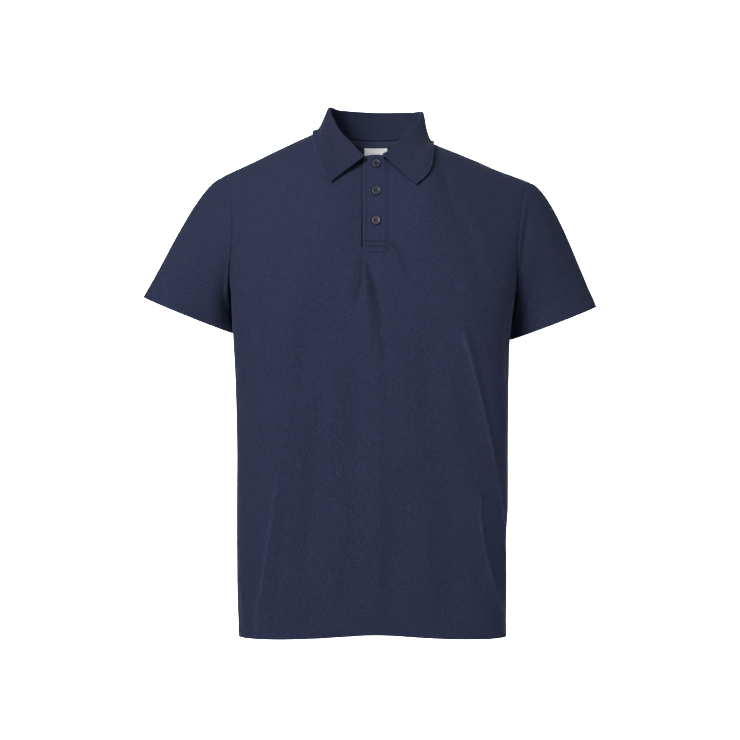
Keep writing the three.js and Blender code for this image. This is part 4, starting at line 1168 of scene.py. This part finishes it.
class Finish:
    """A material with its shader, whose own sockets take the constants."""

    def __init__(self, name, roughness, **constants):
        self.material = bpy.data.materials.new(name)
        self.material.use_nodes = True
        self.tree = self.material.node_tree
        self.shader = self.tree.nodes["Principled BSDF"]
        self.shader.inputs["Roughness"].default_value = roughness
        for socket, value in constants.items():
            self.shader.inputs[socket.replace("_", " ")].default_value = value

    def node(self, kind, settings=None, inputs=None):
        """A node of a type, with its settings and inputs, each a value or something to link."""
        made = self.tree.nodes.new("ShaderNode" + kind)
        for name, value in (settings or {}).items():
            setattr(made, name, value)
        for name, value in (inputs or {}).items():
            self.set(made.inputs[name], value)
        return made

    def set(self, socket, value):
        """Links a number or a socket, or sets a plain value."""
        if isinstance(value, Number):
            value = value.socket
        if isinstance(value, bpy.types.NodeSocket):
            self.tree.links.new(value, socket)
        else:
            socket.default_value = value

    def maths(self, operation, *values):
        """A Math node on values, as a number."""
        return Number(self, self.node("Math", {"operation": operation}, dict(enumerate(values))).outputs[0])

    def place(self):
        """The flat coordinates of the cloth, in metres."""
        split = self.node("SeparateXYZ", inputs={0: self.node("TexCoord").outputs["UV"]})
        return Number(self, split.outputs[0]), Number(self, split.outputs[1])

    def edge(self):
        """The tone that the points of a piece carry: painted highlights and shade on the front, painted
        shade on the placket, a painted reflection on the buttons' rims, and the collar's welt.
        """
        return Number(self, self.node("Attribute", {"attribute_name": "edge"}).outputs["Fac"])

    def noise(self, scale, detail=2.0, roughness=0.5):
        """Noise on the object's own coordinates, scale to the metre."""
        where = self.node("TexCoord").outputs["Object"]
        inputs = {"Vector": where, "Scale": scale, "Detail": detail, "Roughness": roughness}
        return Number(self, self.node("TexNoise", inputs=inputs).outputs["Fac"])

    def mix(self, factor, first, second):
        """A mix of two colours."""
        made = self.node("Mix", {"data_type": "RGBA"})
        for name, value in (("Factor_Float", factor), ("A_Color", first), ("B_Color", second)):
            self.set(next(s for s in made.inputs if s.identifier == name), value)
        return next(s for s in made.outputs if s.identifier == "Result_Color")

    def colour(self, value):
        """Sets the base colour."""
        self.set(self.shader.inputs["Base Color"], value)

    def bump(self, height, distance, strength=1.0):
        """Sets the relief, whose height runs over a distance in metres."""
        made = self.node("Bump", inputs={"Height": height, "Distance": distance, "Strength": strength})
        self.set(self.shader.inputs["Normal"], made.outputs[0])


def shade(colour, amount):
    """A colour times an amount, with its alpha."""
    return (*(channel * amount for channel in colour[:3]), 1.0)


@functools.cache
def knit_finish(name, colour, cell_across, cell_up, depth, mottle):
    """A knit of small cells: sin(2 pi u / across) sin(2 pi v / up) for its height, over a heather of
    fine and coarse noise, with the tone that its points carry added: painted highlights and shade on
    the front and painted shade on the placket."""
    made = Finish(name, 0.92, **KNIT_SHEEN)
    u, v = made.place()
    cells = (u * (TURN / cell_across)).sine() * (v * (TURN / cell_up)).sine()
    heather = made.noise(HEATHER, 2, 0.7) * 0.6 + made.noise(FINE_HEATHER, 2, 0.6) * 0.4
    tone = (heather - 0.5) * mottle + cells * 0.06 + made.edge() * 0.8 + 0.5
    made.colour(made.mix(tone, shade(colour, 0.62), shade(colour, 1.38)))
    made.bump(cells * 0.5 + made.noise(FUZZ) * 0.5, depth, 0.7)
    return made.material


@functools.cache
def rib_finish(colour):
    """Flat knit: fine ribs sin(2 pi u / 1.25 mm) up the collar with softer courses across, a little
    lighter in the welt along its edge."""
    made = Finish("Flat knit", 0.9, **KNIT_SHEEN)
    u, v = made.place()
    ribs = (u * (TURN / RIB)).sine()
    courses = (v * (TURN / COURSE)).sine()
    welt = made.edge()
    tone = ribs * 0.14 + courses * 0.06 + (made.noise(SPECKLE, 2, 0.7) - 0.5) * 1.2 + welt * 0.55 + 0.5
    made.colour(made.mix(tone, shade(colour, 0.6), shade(colour, 1.4)))
    made.bump(ribs * 0.6 + courses * 0.3 + made.noise(FUZZ) * 0.3, 0.0003, 0.8)
    return made.material


@functools.cache
def tape_finish(colour):
    """Twill tape: slanted ribs sin(2 pi (u + v) / 1.1 mm)."""
    made = Finish("Neck tape", 0.88, **KNIT_SHEEN)
    u, v = made.place()
    twill = ((u + v) * (TURN / TWILL)).sine()
    made.colour(made.mix(twill * 0.3 + 0.5, shade(colour, 0.75), shade(colour, 1.25)))
    made.bump(twill, 0.00025, 0.8)
    return made.material


@functools.cache
def label_finish(colour):
    """Bare satin: fine weft lines sin(2 pi v / 0.4 mm) and a soft gloss."""
    made = Finish("Label satin", 0.55, Sheen_Weight=0.1, Specular_IOR_Level=0.4)
    u, v = made.place()
    weft = (v * (TURN / WEFT)).sine() * 0.5 + (u * (TURN / WARP)).sine() * 0.2
    made.colour(made.mix(made.noise(SATIN_CLOUD) * 0.6 + 0.2, shade(colour, 0.95), colour))
    made.bump(weft, 0.0001, 0.6)
    return made.material


@functools.cache
def button_finish(colour):
    """Pressed plastic with a faint mottle, its rim painted much lighter as a painted reflection of the
    studio in its gloss.
    """
    made = Finish("Button plastic", 0.3, Specular_IOR_Level=0.5, IOR=1.5)
    tone = made.edge() * 0.42 + made.noise(SPECKLE, 3) * 0.08
    made.colour(made.mix(tone, shade(colour, 0.4), shade(colour, 7)))
    return made.material


@functools.cache
def thread_finish(colour):
    """Sewing thread with a slight twist in its relief."""
    made = Finish("Thread", 0.7, **KNIT_SHEEN)
    made.colour(made.mix(made.noise(THREAD_TONE), shade(colour, 0.8), shade(colour, 1.3)))
    made.bump(made.noise(THREAD_TWIST, 1), 0.0001, 0.5)
    return made.material


def setting(name, description, default, **kind):
    """A number in the panel, a length in metres unless its kind says otherwise."""
    return FloatProperty(name=name, description=description, default=default, **(kind or {"unit": "LENGTH"}))


def colour_setting(name, description, default):
    """A colour in the panel."""
    return FloatVectorProperty(name=name, description=description, default=default, subtype="COLOR")


class ShirtSizes(bpy.types.PropertyGroup):
    """Walls and creases of the cloth."""

    cloth: setting("Cloth", "Thickness of the pique", 0.0011)
    collar: setting("Collar", "Thickness of the flat knit", 0.0017)
    band: setting("Bands", "Thickness of the placket's bands", 0.0014)
    tape: setting("Tape", "Thickness of the neck tape and label", 0.0006)
    fall_gap: setting("Collar lift", "Space under the collar's fall", 0.00015)
    creases: setting("Creases", "Height of the creases, 1 as in the photo", 1.0, min=0)
    stitch: setting("Stitch", "Distance from stitch to stitch", 0.0032)
    thread: setting("Thread", "Radius of the thread", 0.00026)


class ShirtColours(bpy.types.PropertyGroup):
    """Colours of the knit, the tape, the label, the buttons and the thread. The tape's colour is lighter
    than the knit's, painted light for the shade inside the neck.
    """

    knit: colour_setting("Knit", "Colour of the cloth", (0.024, 0.029, 0.062))
    # The tape's colour carries painted light: lighter than the knit, for the shade inside the neck
    trim: colour_setting("Tape", "Colour of the tape", (0.05, 0.058, 0.11))
    label: colour_setting("Label", "Colour of the label", (0.9, 0.9, 0.9))
    button: colour_setting("Buttons", "Colour of the buttons", (0.022, 0.022, 0.033))
    thread: colour_setting("Thread", "Colour of the thread", (0.034, 0.04, 0.076))


class StudioSettings(bpy.types.PropertyGroup):
    """Lights and camera."""

    key: setting("Key light", "Light from the upper left", 28.5, unit="POWER")
    fill: setting("Fill light", "Light from the right", 24, unit="POWER")
    sky: setting("Surroundings", "Strength of the even light", 0.23, min=0)
    lens: setting("Lens", "Focal length in mm", 100.65, unit="CAMERA")
    distance: setting("Distance", "Camera to shirt", 3.0)


def coloured(values):
    """A colour from the panel with its alpha."""
    return (*values, 1.0)


def pique(scene):
    """The finish of the body, sleeves and bands."""
    colour = coloured(scene.shirt_colours.knit)
    return knit_finish("Pique knit", colour, *PIQUE_CELL, PIQUE_DEPTH, PIQUE_MOTTLE)


def declare_sheets():
    """Goes through the table of flat cuts and looks up the objects sewn on each piece; it keeps nothing."""
    for name, (width, length, area, held, rests_on, sewn_on) in CUTS.items():
        [f"shirt_{other}" for other in rests_on]
        [bpy.data.objects[f"shirt_{other}"] for other in sewn_on]


class SHIRT_OT_body(bpy.types.Operator):
    """Builds the front and the back"""

    bl_idname = "shirt.body"
    bl_label = "Body"

    def execute(self, context):
        scene = context.scene
        sizes = scene.shirt_sizes
        for name, cloth in panels(sizes.creases).items():
            wall = sizes.cloth / MM
            face, back = with_wall(cloth.face, cloth.outward, cloth.inward, wall, cloth.from_hem)
            facts = {"edge": np.zeros(cloth.across.shape), "nodes": (name,)}
            if name == "front":
                # The front's tone: painted highlights along its creases, and painted shade beside the
                # placket and along the collar's leaves
                facts["edge"] = creases(FRONT_PAINTED_LINES, cloth.across, cloth.up)
                middle = (cloth.columns[1:] + cloth.columns[:-1]) / 2
                in_slot = np.abs(middle) < float(front_share(SLOT_HALF))
                above = cloth.rows[:-1] >= front_level(SLOT_FOOT) - 1e-9
                facts["keep"] = ~(above[:, None] & in_slot[None])
            wall_object("shirt_" + name, face, back, cloth.across, cloth.up, pique(scene), **facts)
        return {"FINISHED"}


class SHIRT_OT_sleeves(bpy.types.Operator):
    """Builds both sleeves"""

    bl_idname = "shirt.sleeves"
    bl_label = "Sleeves"

    def execute(self, context):
        scene = context.scene
        sizes = scene.shirt_sizes
        for name, sign in SLEEVES.items():
            cloth = sleeve_cloth(sign, sizes.creases)
            wall = sizes.cloth / MM
            face, back = with_wall(cloth.face, cloth.outward, cloth.inward, wall, cloth.from_cuff)
            facts = {"wrap": True, "nodes": (name,)}
            wall_object("shirt_" + name, face, back, cloth.across, cloth.up, pique(scene), **facts)
        return {"FINISHED"}


class SHIRT_OT_collar(bpy.types.Operator):
    """Builds the collar, its stand and fall in one"""

    bl_idname = "shirt.collar"
    bl_label = "Collar"

    def execute(self, context):
        scene = context.scene
        sizes = scene.shirt_sizes
        wall = sizes.collar / MM
        cloth = collar_cloth(sizes.creases, sizes.fall_gap / MM + wall)
        distance = np.minimum(cloth.from_edge, cloth.from_end)
        thin = wall * (1 - 0.35 * np.exp(-cloth.from_edge / 4))
        face, back = with_wall(cloth.face, cloth.outward, -cloth.outward, thin, distance)
        ribs = rib_finish(coloured(scene.shirt_colours.knit))
        facts = {"edge": bell(cloth.from_edge, WELT_HALF, 4), "slot": "flat_knit", "nodes": ("collar",)}
        wall_object("shirt_collar", face, back, cloth.across, cloth.up, ribs, **facts)
        return {"FINISHED"}


def band_strip(band, wall, strength, gap, relief):
    """A placket band on the front's cloth, whose head is drawn up in a low arch between the leaves:
    rise (1 - (x / half)^2) smooth((z - head + deep) / deep)."""
    x = with_edges(band["left"], band["right"], BAND_COLUMNS)
    z = with_edges(band["foot"], band["head"], BAND_ROWS)
    face, back, across, up = strip(front_cloth(strength), front_share(x), front_level(z), gap, wall, relief)
    arch = 1 - (face[..., :1] / ARCH_HALF) ** 2
    share = smooth((face[..., 2:] - band["head"] + ARCH_DEEP) / ARCH_DEEP) * arch
    rise = HEAD_RISE * share * ARCH_WAY
    out = normals(face)
    made = Panel(x, z, face + rise, out * -np.sign(out[..., 1:2].mean()), across, up)
    made.back = back + rise
    return made


def band_lines(x, z):
    """What draws the upper band in, as bells of the distance from its side rows of stitches, from the
    lines of the box at its foot, and from a ring round each button. The same bells paint its knit darker, as
    painted shade in these grooves."""
    sides = sum(bell(x - at, SIDE_PULL) for at in BAND_STITCHES)
    in_box = smooth((x - BAND_STITCHES[0] + 2) / 2) * smooth((BAND_STITCHES[1] + 2 - x) / 2)
    rows = sum(bell(z - at, STITCH_HALF) * in_box for at in BOX_STITCHES)
    rings = sum(bell(np.hypot(x, z - at) - RING_RADIUS, RING_HALF) for at in BUTTONS)
    return sides, rows, rings


@functools.cache
def upper_band(wall, strength):
    """The upper band. It lifts by 1.1 exp(-left / 4) at its free edge, and thins out over 10 mm to the
    sewn right one. Its face swells by 0.45 mm within its edges, with grooves at the stitch rows, a slack
    above each button and a ring pressed in round it."""

    def gap(left, right, low, high):
        return LAY_GAP * (0.25 + 0.75 * smooth(right / 3)) + 1.1 * np.exp(-left / 4) * smooth(low / 25)

    def relief(flat, left, right, low, top):
        x, z = flat[..., 0], flat[..., 2]
        thin = smooth(right / 10)
        swell = 0.45 * smooth(np.minimum.reduce((left, low, top)) / 4) - (wall - 0.1) * (1 - thin) ** 2
        sides, rows, rings = band_lines(x, z)
        high = (z - at + SLACK_HIGH for at in BUTTONS)
        drop = sum(np.exp(-((up / SLACK_HALF) ** 2) - (x / SLACK_HALF) ** 2) for up in high)
        waves = 0.12 * np.sin(z / 2.1 + x / 9) * bell(left - 4, 3)
        grooves = (0.05 + 0.85 * thin) * np.clip(sides + 1.2 * rows, 0, 1.2)
        return swell - grooves - 0.5 * drop - 0.6 * rings + waves

    return band_strip(BAND, wall, strength, gap, relief)


class SHIRT_OT_placket(bpy.types.Operator):
    """Builds the upper band and the under band"""

    bl_idname = "shirt.placket"
    bl_label = "Placket"

    def execute(self, context):
        scene = context.scene
        sizes = scene.shirt_sizes
        wall, strength = sizes.band / MM, sizes.creases
        made = upper_band(wall, strength)
        sides, rows, rings = band_lines(made.columns[None], made.rows[:, None])
        # Painted shade: the knit is darker along the side stitches, the lines of the box and the ring round
        # each button
        drawn = np.clip(0.25 * sides + 0.9 * rows + 0.6 * rings, 0, 1)
        facts = {"edge": -drawn, "nodes": ("placket",)}
        wall_object("shirt_placket", made.face, made.back, made.across, made.up, pique(scene), **facts)

        def under_gap(*edges):
            return -sizes.cloth / MM - LAY_GAP - wall

        def plain(flat, *edges):
            return 0 * edges[0]

        made = band_strip(UNDER_BAND, wall, strength, under_gap, plain)
        grids = (made.face, made.back, made.across, made.up)
        wall_object("shirt_under_placket", *grids, pique(scene), nodes=("under_placket",))
        return {"FINISHED"}


class SHIRT_OT_neck_trim(bpy.types.Operator):
    """Builds the neck tape and the bare label inside the back"""

    bl_idname = "shirt.neck_trim"
    bl_label = "Neck tape and label"

    def execute(self, context):
        scene = context.scene
        sizes = scene.shirt_sizes
        back = back_cloth(sizes.creases)
        lining = back.face + back.inward * (sizes.cloth / MM)
        inside = Panel(back.columns, back.rows, lining, -back.outward, back.across, back.up)
        middle = len(back.columns) // 2
        below = back.up[-1, middle] - back.up[:, middle]
        wall = sizes.tape / MM

        def rows(low, high, steps):
            return np.interp(-with_edges(low, high, steps), -below, back.rows)

        def tape_relief(flat, *edges):
            distance = np.minimum.reduce(edges)
            return 0.15 * smooth(distance / 1.5) - 0.15 * bell(distance - 1.6, 0.4)

        def tape_gap(*edges):
            return LAY_GAP

        def label_gap(left, right, low, high):
            return 2 * LAY_GAP + 1.2 * smooth(high / 25)

        def label_relief(flat, *edges):
            return 0.1 * np.sin(flat[..., 0] / 5 + 1)

        def columns_at(x):
            return np.interp(x, back.face[TAPE_LINE, :, 0], back.columns)

        columns = columns_at(with_edges(-TAPE_HALF, TAPE_HALF, TAPE_COLUMNS))
        tape = strip(inside, columns, rows(TAPE_DEEP, TAPE_TOP, TAPE_ROWS), tape_gap, wall, tape_relief)
        # The tape's colour carries painted light, lighter than the knit for the shade inside the neck
        twill = tape_finish(coloured(scene.shirt_colours.trim))
        wall_object("shirt_neck_tape", *tape, twill, slot="neck_tape", nodes=("neck_tape",))
        columns = columns_at(with_edges(-LABEL_HALF, LABEL_HALF, LABEL_COLUMNS))
        label_rows = rows(TAPE_DEEP + LABEL_DEEP, TAPE_DEEP + LABEL_TOP, LABEL_ROWS)
        label = strip(inside, columns, label_rows, label_gap, wall, label_relief)
        satin = label_finish(coloured(scene.shirt_colours.label))
        wall_object("shirt_neck_label", *label, satin, slot="label_satin", nodes=("neck_label",))
        return {"FINISHED"}


def button_frames(sizes):
    """Seat and normal of each button on the upper band."""
    band = upper_band(sizes.band / MM, sizes.creases)
    return band.points(np.zeros(len(BUTTONS)), np.array(BUTTONS), BUTTON_LIFT)


class SHIRT_OT_buttons(bpy.types.Operator):
    """Builds the three buttons with the thread in their holes"""

    bl_idname = "shirt.buttons"
    bl_label = "Buttons"

    def execute(self, context):
        scene = context.scene
        seats, outs = button_frames(scene.shirt_sizes)
        shape = button_rings()
        rings, columns = shape.shape[:2]
        i, j = np.meshgrid(np.arange(rings - 1), np.arange(columns), indexing="ij")
        k = (j + 1) % columns
        low, high = i * columns, (i + 1) * columns
        quads = np.stack([low + j, low + k, high + k, high + j], -1).reshape(-1, 4)[:, ::-1]
        # The rim's painted reflection: a ring of lighter colour where the rim stands highest
        rim = bell(np.hypot(shape[..., 0], shape[..., 1]) - PAINTED_RIM_RADIUS, PAINTED_RIM_HALF, 4) * (shape[..., 2] > 1)
        plastic = button_finish(coloured(scene.shirt_colours.button))
        cotton = thread_finish(coloured(scene.shirt_colours.thread))
        for number, (seat, out) in enumerate(zip(seats, outs), 1):
            right = unit(np.cross([0, 0, 1.0], out) * -1)
            above = np.cross(out, right)
            placed = shape[..., :1] * right + shape[..., 1:2] * above + shape[..., 2:] * out + seat
            facts = {"edge": rim.ravel(), "slot": "button", "nodes": (f"button_{number}",)}
            points = placed.reshape(-1, 3)
            merge_poles(mesh_object(f"shirt_button_{number}", points, quads, plastic, **facts))
            centres = np.array([seat + BARS_HIGH * out + BARS_SIDE * bar * right for bar in BARS])
            runs, outs_of_bars = np.array([above] * len(BARS)), np.array([out] * len(BARS))
            points, index = threads(centres, runs, outs_of_bars, BARS_LONG, BARS_RADIUS)
            mesh_object(f"shirt_button_thread_{number}", points, index, cotton, slot="button")
        return {"FINISHED"}


def merge_poles(made):
    """Closes the rings at a turned shape's two poles, where all their points are one."""
    body = bmesh.new()
    body.from_mesh(made.data)
    bmesh.ops.remove_doubles(body, verts=body.verts, dist=1e-7)
    bmesh.ops.recalc_face_normals(body, faces=body.faces)
    body.to_mesh(made.data)
    body.free()
    made.data.polygons.foreach_set("use_smooth", np.ones(len(made.data.polygons), bool))


class SHIRT_OT_stitches(bpy.types.Operator):
    """Builds the rows of stitches at the hems and on the placket, and the buttonholes"""

    bl_idname = "shirt.stitches"
    bl_label = "Stitches"

    def execute(self, context):
        scene = context.scene
        sizes = scene.shirt_sizes
        pitch, radius = sizes.stitch / MM, sizes.thread / MM
        cotton = thread_finish(coloured(scene.shirt_colours.thread))

        def sew(name, lines, run=pitch, long=pitch * STITCH_SHARE):
            points, index = joined([seam_threads(path, out, run, long, radius) for path, out in lines])
            mesh_object(name, points, index, cotton)

        for name, cloth in panels(sizes.creases).items():
            columns = np.linspace(-0.995, 0.995, HEM_POINTS)
            armpit = np.argmin(np.abs(cloth.rows - 1))
            reach = np.interp(columns, cloth.columns, cloth.from_hem[armpit])
            rows = [row / reach for row in stitch_rows(HEM_DEEP)]
            sew(f"shirt_{name}_stitches", [cloth.points(columns, row, THREAD_LIFT) for row in rows])
        for name, sign in SLEEVES.items():
            cloth = sleeve_cloth(sign, sizes.creases)
            turns = np.linspace(cloth.columns[0], cloth.columns[-1], CUFF_POINTS)
            reach = np.interp(turns, cloth.columns, cloth.from_cuff[0])
            rows = [1 - row / reach for row in stitch_rows(CUFF_DEEP)]
            sew(f"shirt_{name}_stitches", [cloth.points(turns, row, THREAD_LIFT) for row in rows])
        band = upper_band(sizes.band / MM, sizes.creases)
        down = np.linspace(BAND["head"] - 1, BAND["foot"] + 1.7, SIDE_POINTS)
        across = np.linspace(*BAND_STITCHES, BOX_POINTS)
        lines = [band.points(np.full(SIDE_POINTS, x), down, THREAD_LIFT) for x in BAND_STITCHES]
        lines += [band.points(across, np.full(BOX_POINTS, z), THREAD_LIFT) for z in BOX_STITCHES]
        sew("shirt_placket_stitches", lines, BAND_PITCH, BAND_STITCH)
        half, side, stitches, length, hole_radius = BUTTONHOLE.values()
        holes = []
        for z in BUTTONS:
            high = np.repeat(z - 1 + np.linspace(-half, half, stitches), 2)
            seat, out = band.points(np.tile([-side, side], stitches), high, 0.05)
            sideways = np.broadcast_to(np.array([1.0, 0, 0]), seat.shape)
            holes.append(threads(seat, sideways, out, length, hole_radius))
        mesh_object("shirt_buttonholes", *joined(holes), cotton)
        declare_sheets()
        return {"FINISHED"}


def area_light(scene, name, power):
    """A square lamp from the table of lamps."""
    place, target, size, spread = LAMPS[name]
    data = bpy.data.lights.new(name, "AREA")
    data.shape, data.size, data.energy = "SQUARE", size, power
    data.spread = np.radians(spread)
    lamp = bpy.data.objects.new(name, data)
    scene.collection.objects.link(lamp)
    lamp.location = place
    lamp.rotation_euler = (Vector(target) - Vector(place)).to_track_quat("-Z", "Y").to_euler()


class SHIRT_OT_studio(bpy.types.Operator):
    """Builds the floor, the lights and the camera"""

    bl_idname = "shirt.studio"
    bl_label = "Studio"

    def execute(self, context):
        scene = context.scene
        studio = scene.studio
        turn = np.radians(np.linspace(0, 90, 25))
        y = np.concatenate([[-FLOOR_HALF, CURVE_Y], CURVE_Y + CURVE * np.sin(turn), [CURVE_Y + CURVE]])
        z = np.concatenate([[0, 0], CURVE - CURVE * np.cos(turn), [WALL_HIGH]]) + FLOOR_Z
        points = np.array([[x, b, c] for x in (-FLOOR_HALF, FLOOR_HALF) for b, c in zip(y, z)])
        n = len(y)
        i = np.arange(n - 1)
        mesh = bpy.data.meshes.new("floor")
        mesh.from_pydata(points, [], np.stack([i, i + 1, i + 1 + n, i + n], 1)[:, ::-1].tolist())
        mesh.polygons.foreach_set("use_smooth", np.ones(n - 1, bool))
        floor = bpy.data.objects.new("floor", mesh)
        scene.collection.objects.link(floor)
        pale = Finish("Pale floor", 0.95)
        pale.colour((0.92, 0.92, 0.92, 1.0))
        mesh.materials.append(pale.material)
        world = bpy.data.worlds.new("studio")
        world.use_nodes = True
        background = world.node_tree.nodes["Background"].inputs
        background["Color"].default_value = (1, 1, 1, 1)
        background["Strength"].default_value = studio.sky
        scene.world = world
        for name, power in (("key", studio.key), ("fill", studio.fill), ("backdrop", BACKDROP_POWER)):
            area_light(scene, name, power)
        data = bpy.data.cameras.new("camera")
        data.sensor_width, data.lens = SENSOR, studio.lens
        data.clip_end = FARTHEST
        camera = bpy.data.objects.new("camera", data)
        scene.collection.objects.link(camera)
        camera.location = (CAMERA_X, -studio.distance, CAMERA_Z)
        camera.rotation_euler = (np.pi / 2, 0, 0)
        scene.camera = camera
        scene.view_settings.view_transform = "Standard"
        return {"FINISHED"}


class SHIRT_PT_build(bpy.types.Panel):
    """Lists the steps that build the shirt"""

    bl_idname = "SHIRT_PT_build"
    bl_label = "Polo shirt"
    bl_space_type = "VIEW_3D"
    bl_region_type = "UI"
    bl_category = "Shirt"

    def draw(self, context):
        for group in (context.scene.shirt_sizes, context.scene.shirt_colours, context.scene.studio):
            box = self.layout.box()
            for name in group.__annotations__:
                box.prop(group, name)
        for step in STEPS:
            self.layout.operator(step.bl_idname)


STEPS = (
    SHIRT_OT_body,
    SHIRT_OT_sleeves,
    SHIRT_OT_collar,
    SHIRT_OT_placket,
    SHIRT_OT_neck_trim,
    SHIRT_OT_buttons,
    SHIRT_OT_stitches,
    SHIRT_OT_studio,
)
CLASSES = (ShirtSizes, ShirtColours, StudioSettings, *STEPS, SHIRT_PT_build)


def register():
    for made in CLASSES:
        bpy.utils.register_class(made)
    bpy.types.Scene.shirt_sizes = PointerProperty(type=ShirtSizes)
    bpy.types.Scene.shirt_colours = PointerProperty(type=ShirtColours)
    bpy.types.Scene.studio = PointerProperty(type=StudioSettings)


def unregister():
    del bpy.types.Scene.shirt_sizes, bpy.types.Scene.shirt_colours, bpy.types.Scene.studio
    for made in reversed(CLASSES):
        bpy.utils.unregister_class(made)


def main():
    """Builds the shirt and the studio."""
    register()
    for step in STEPS:
        group, name = step.bl_idname.split(".")
        getattr(getattr(bpy.ops, group), name)()


if __name__ == "__main__":
    main()
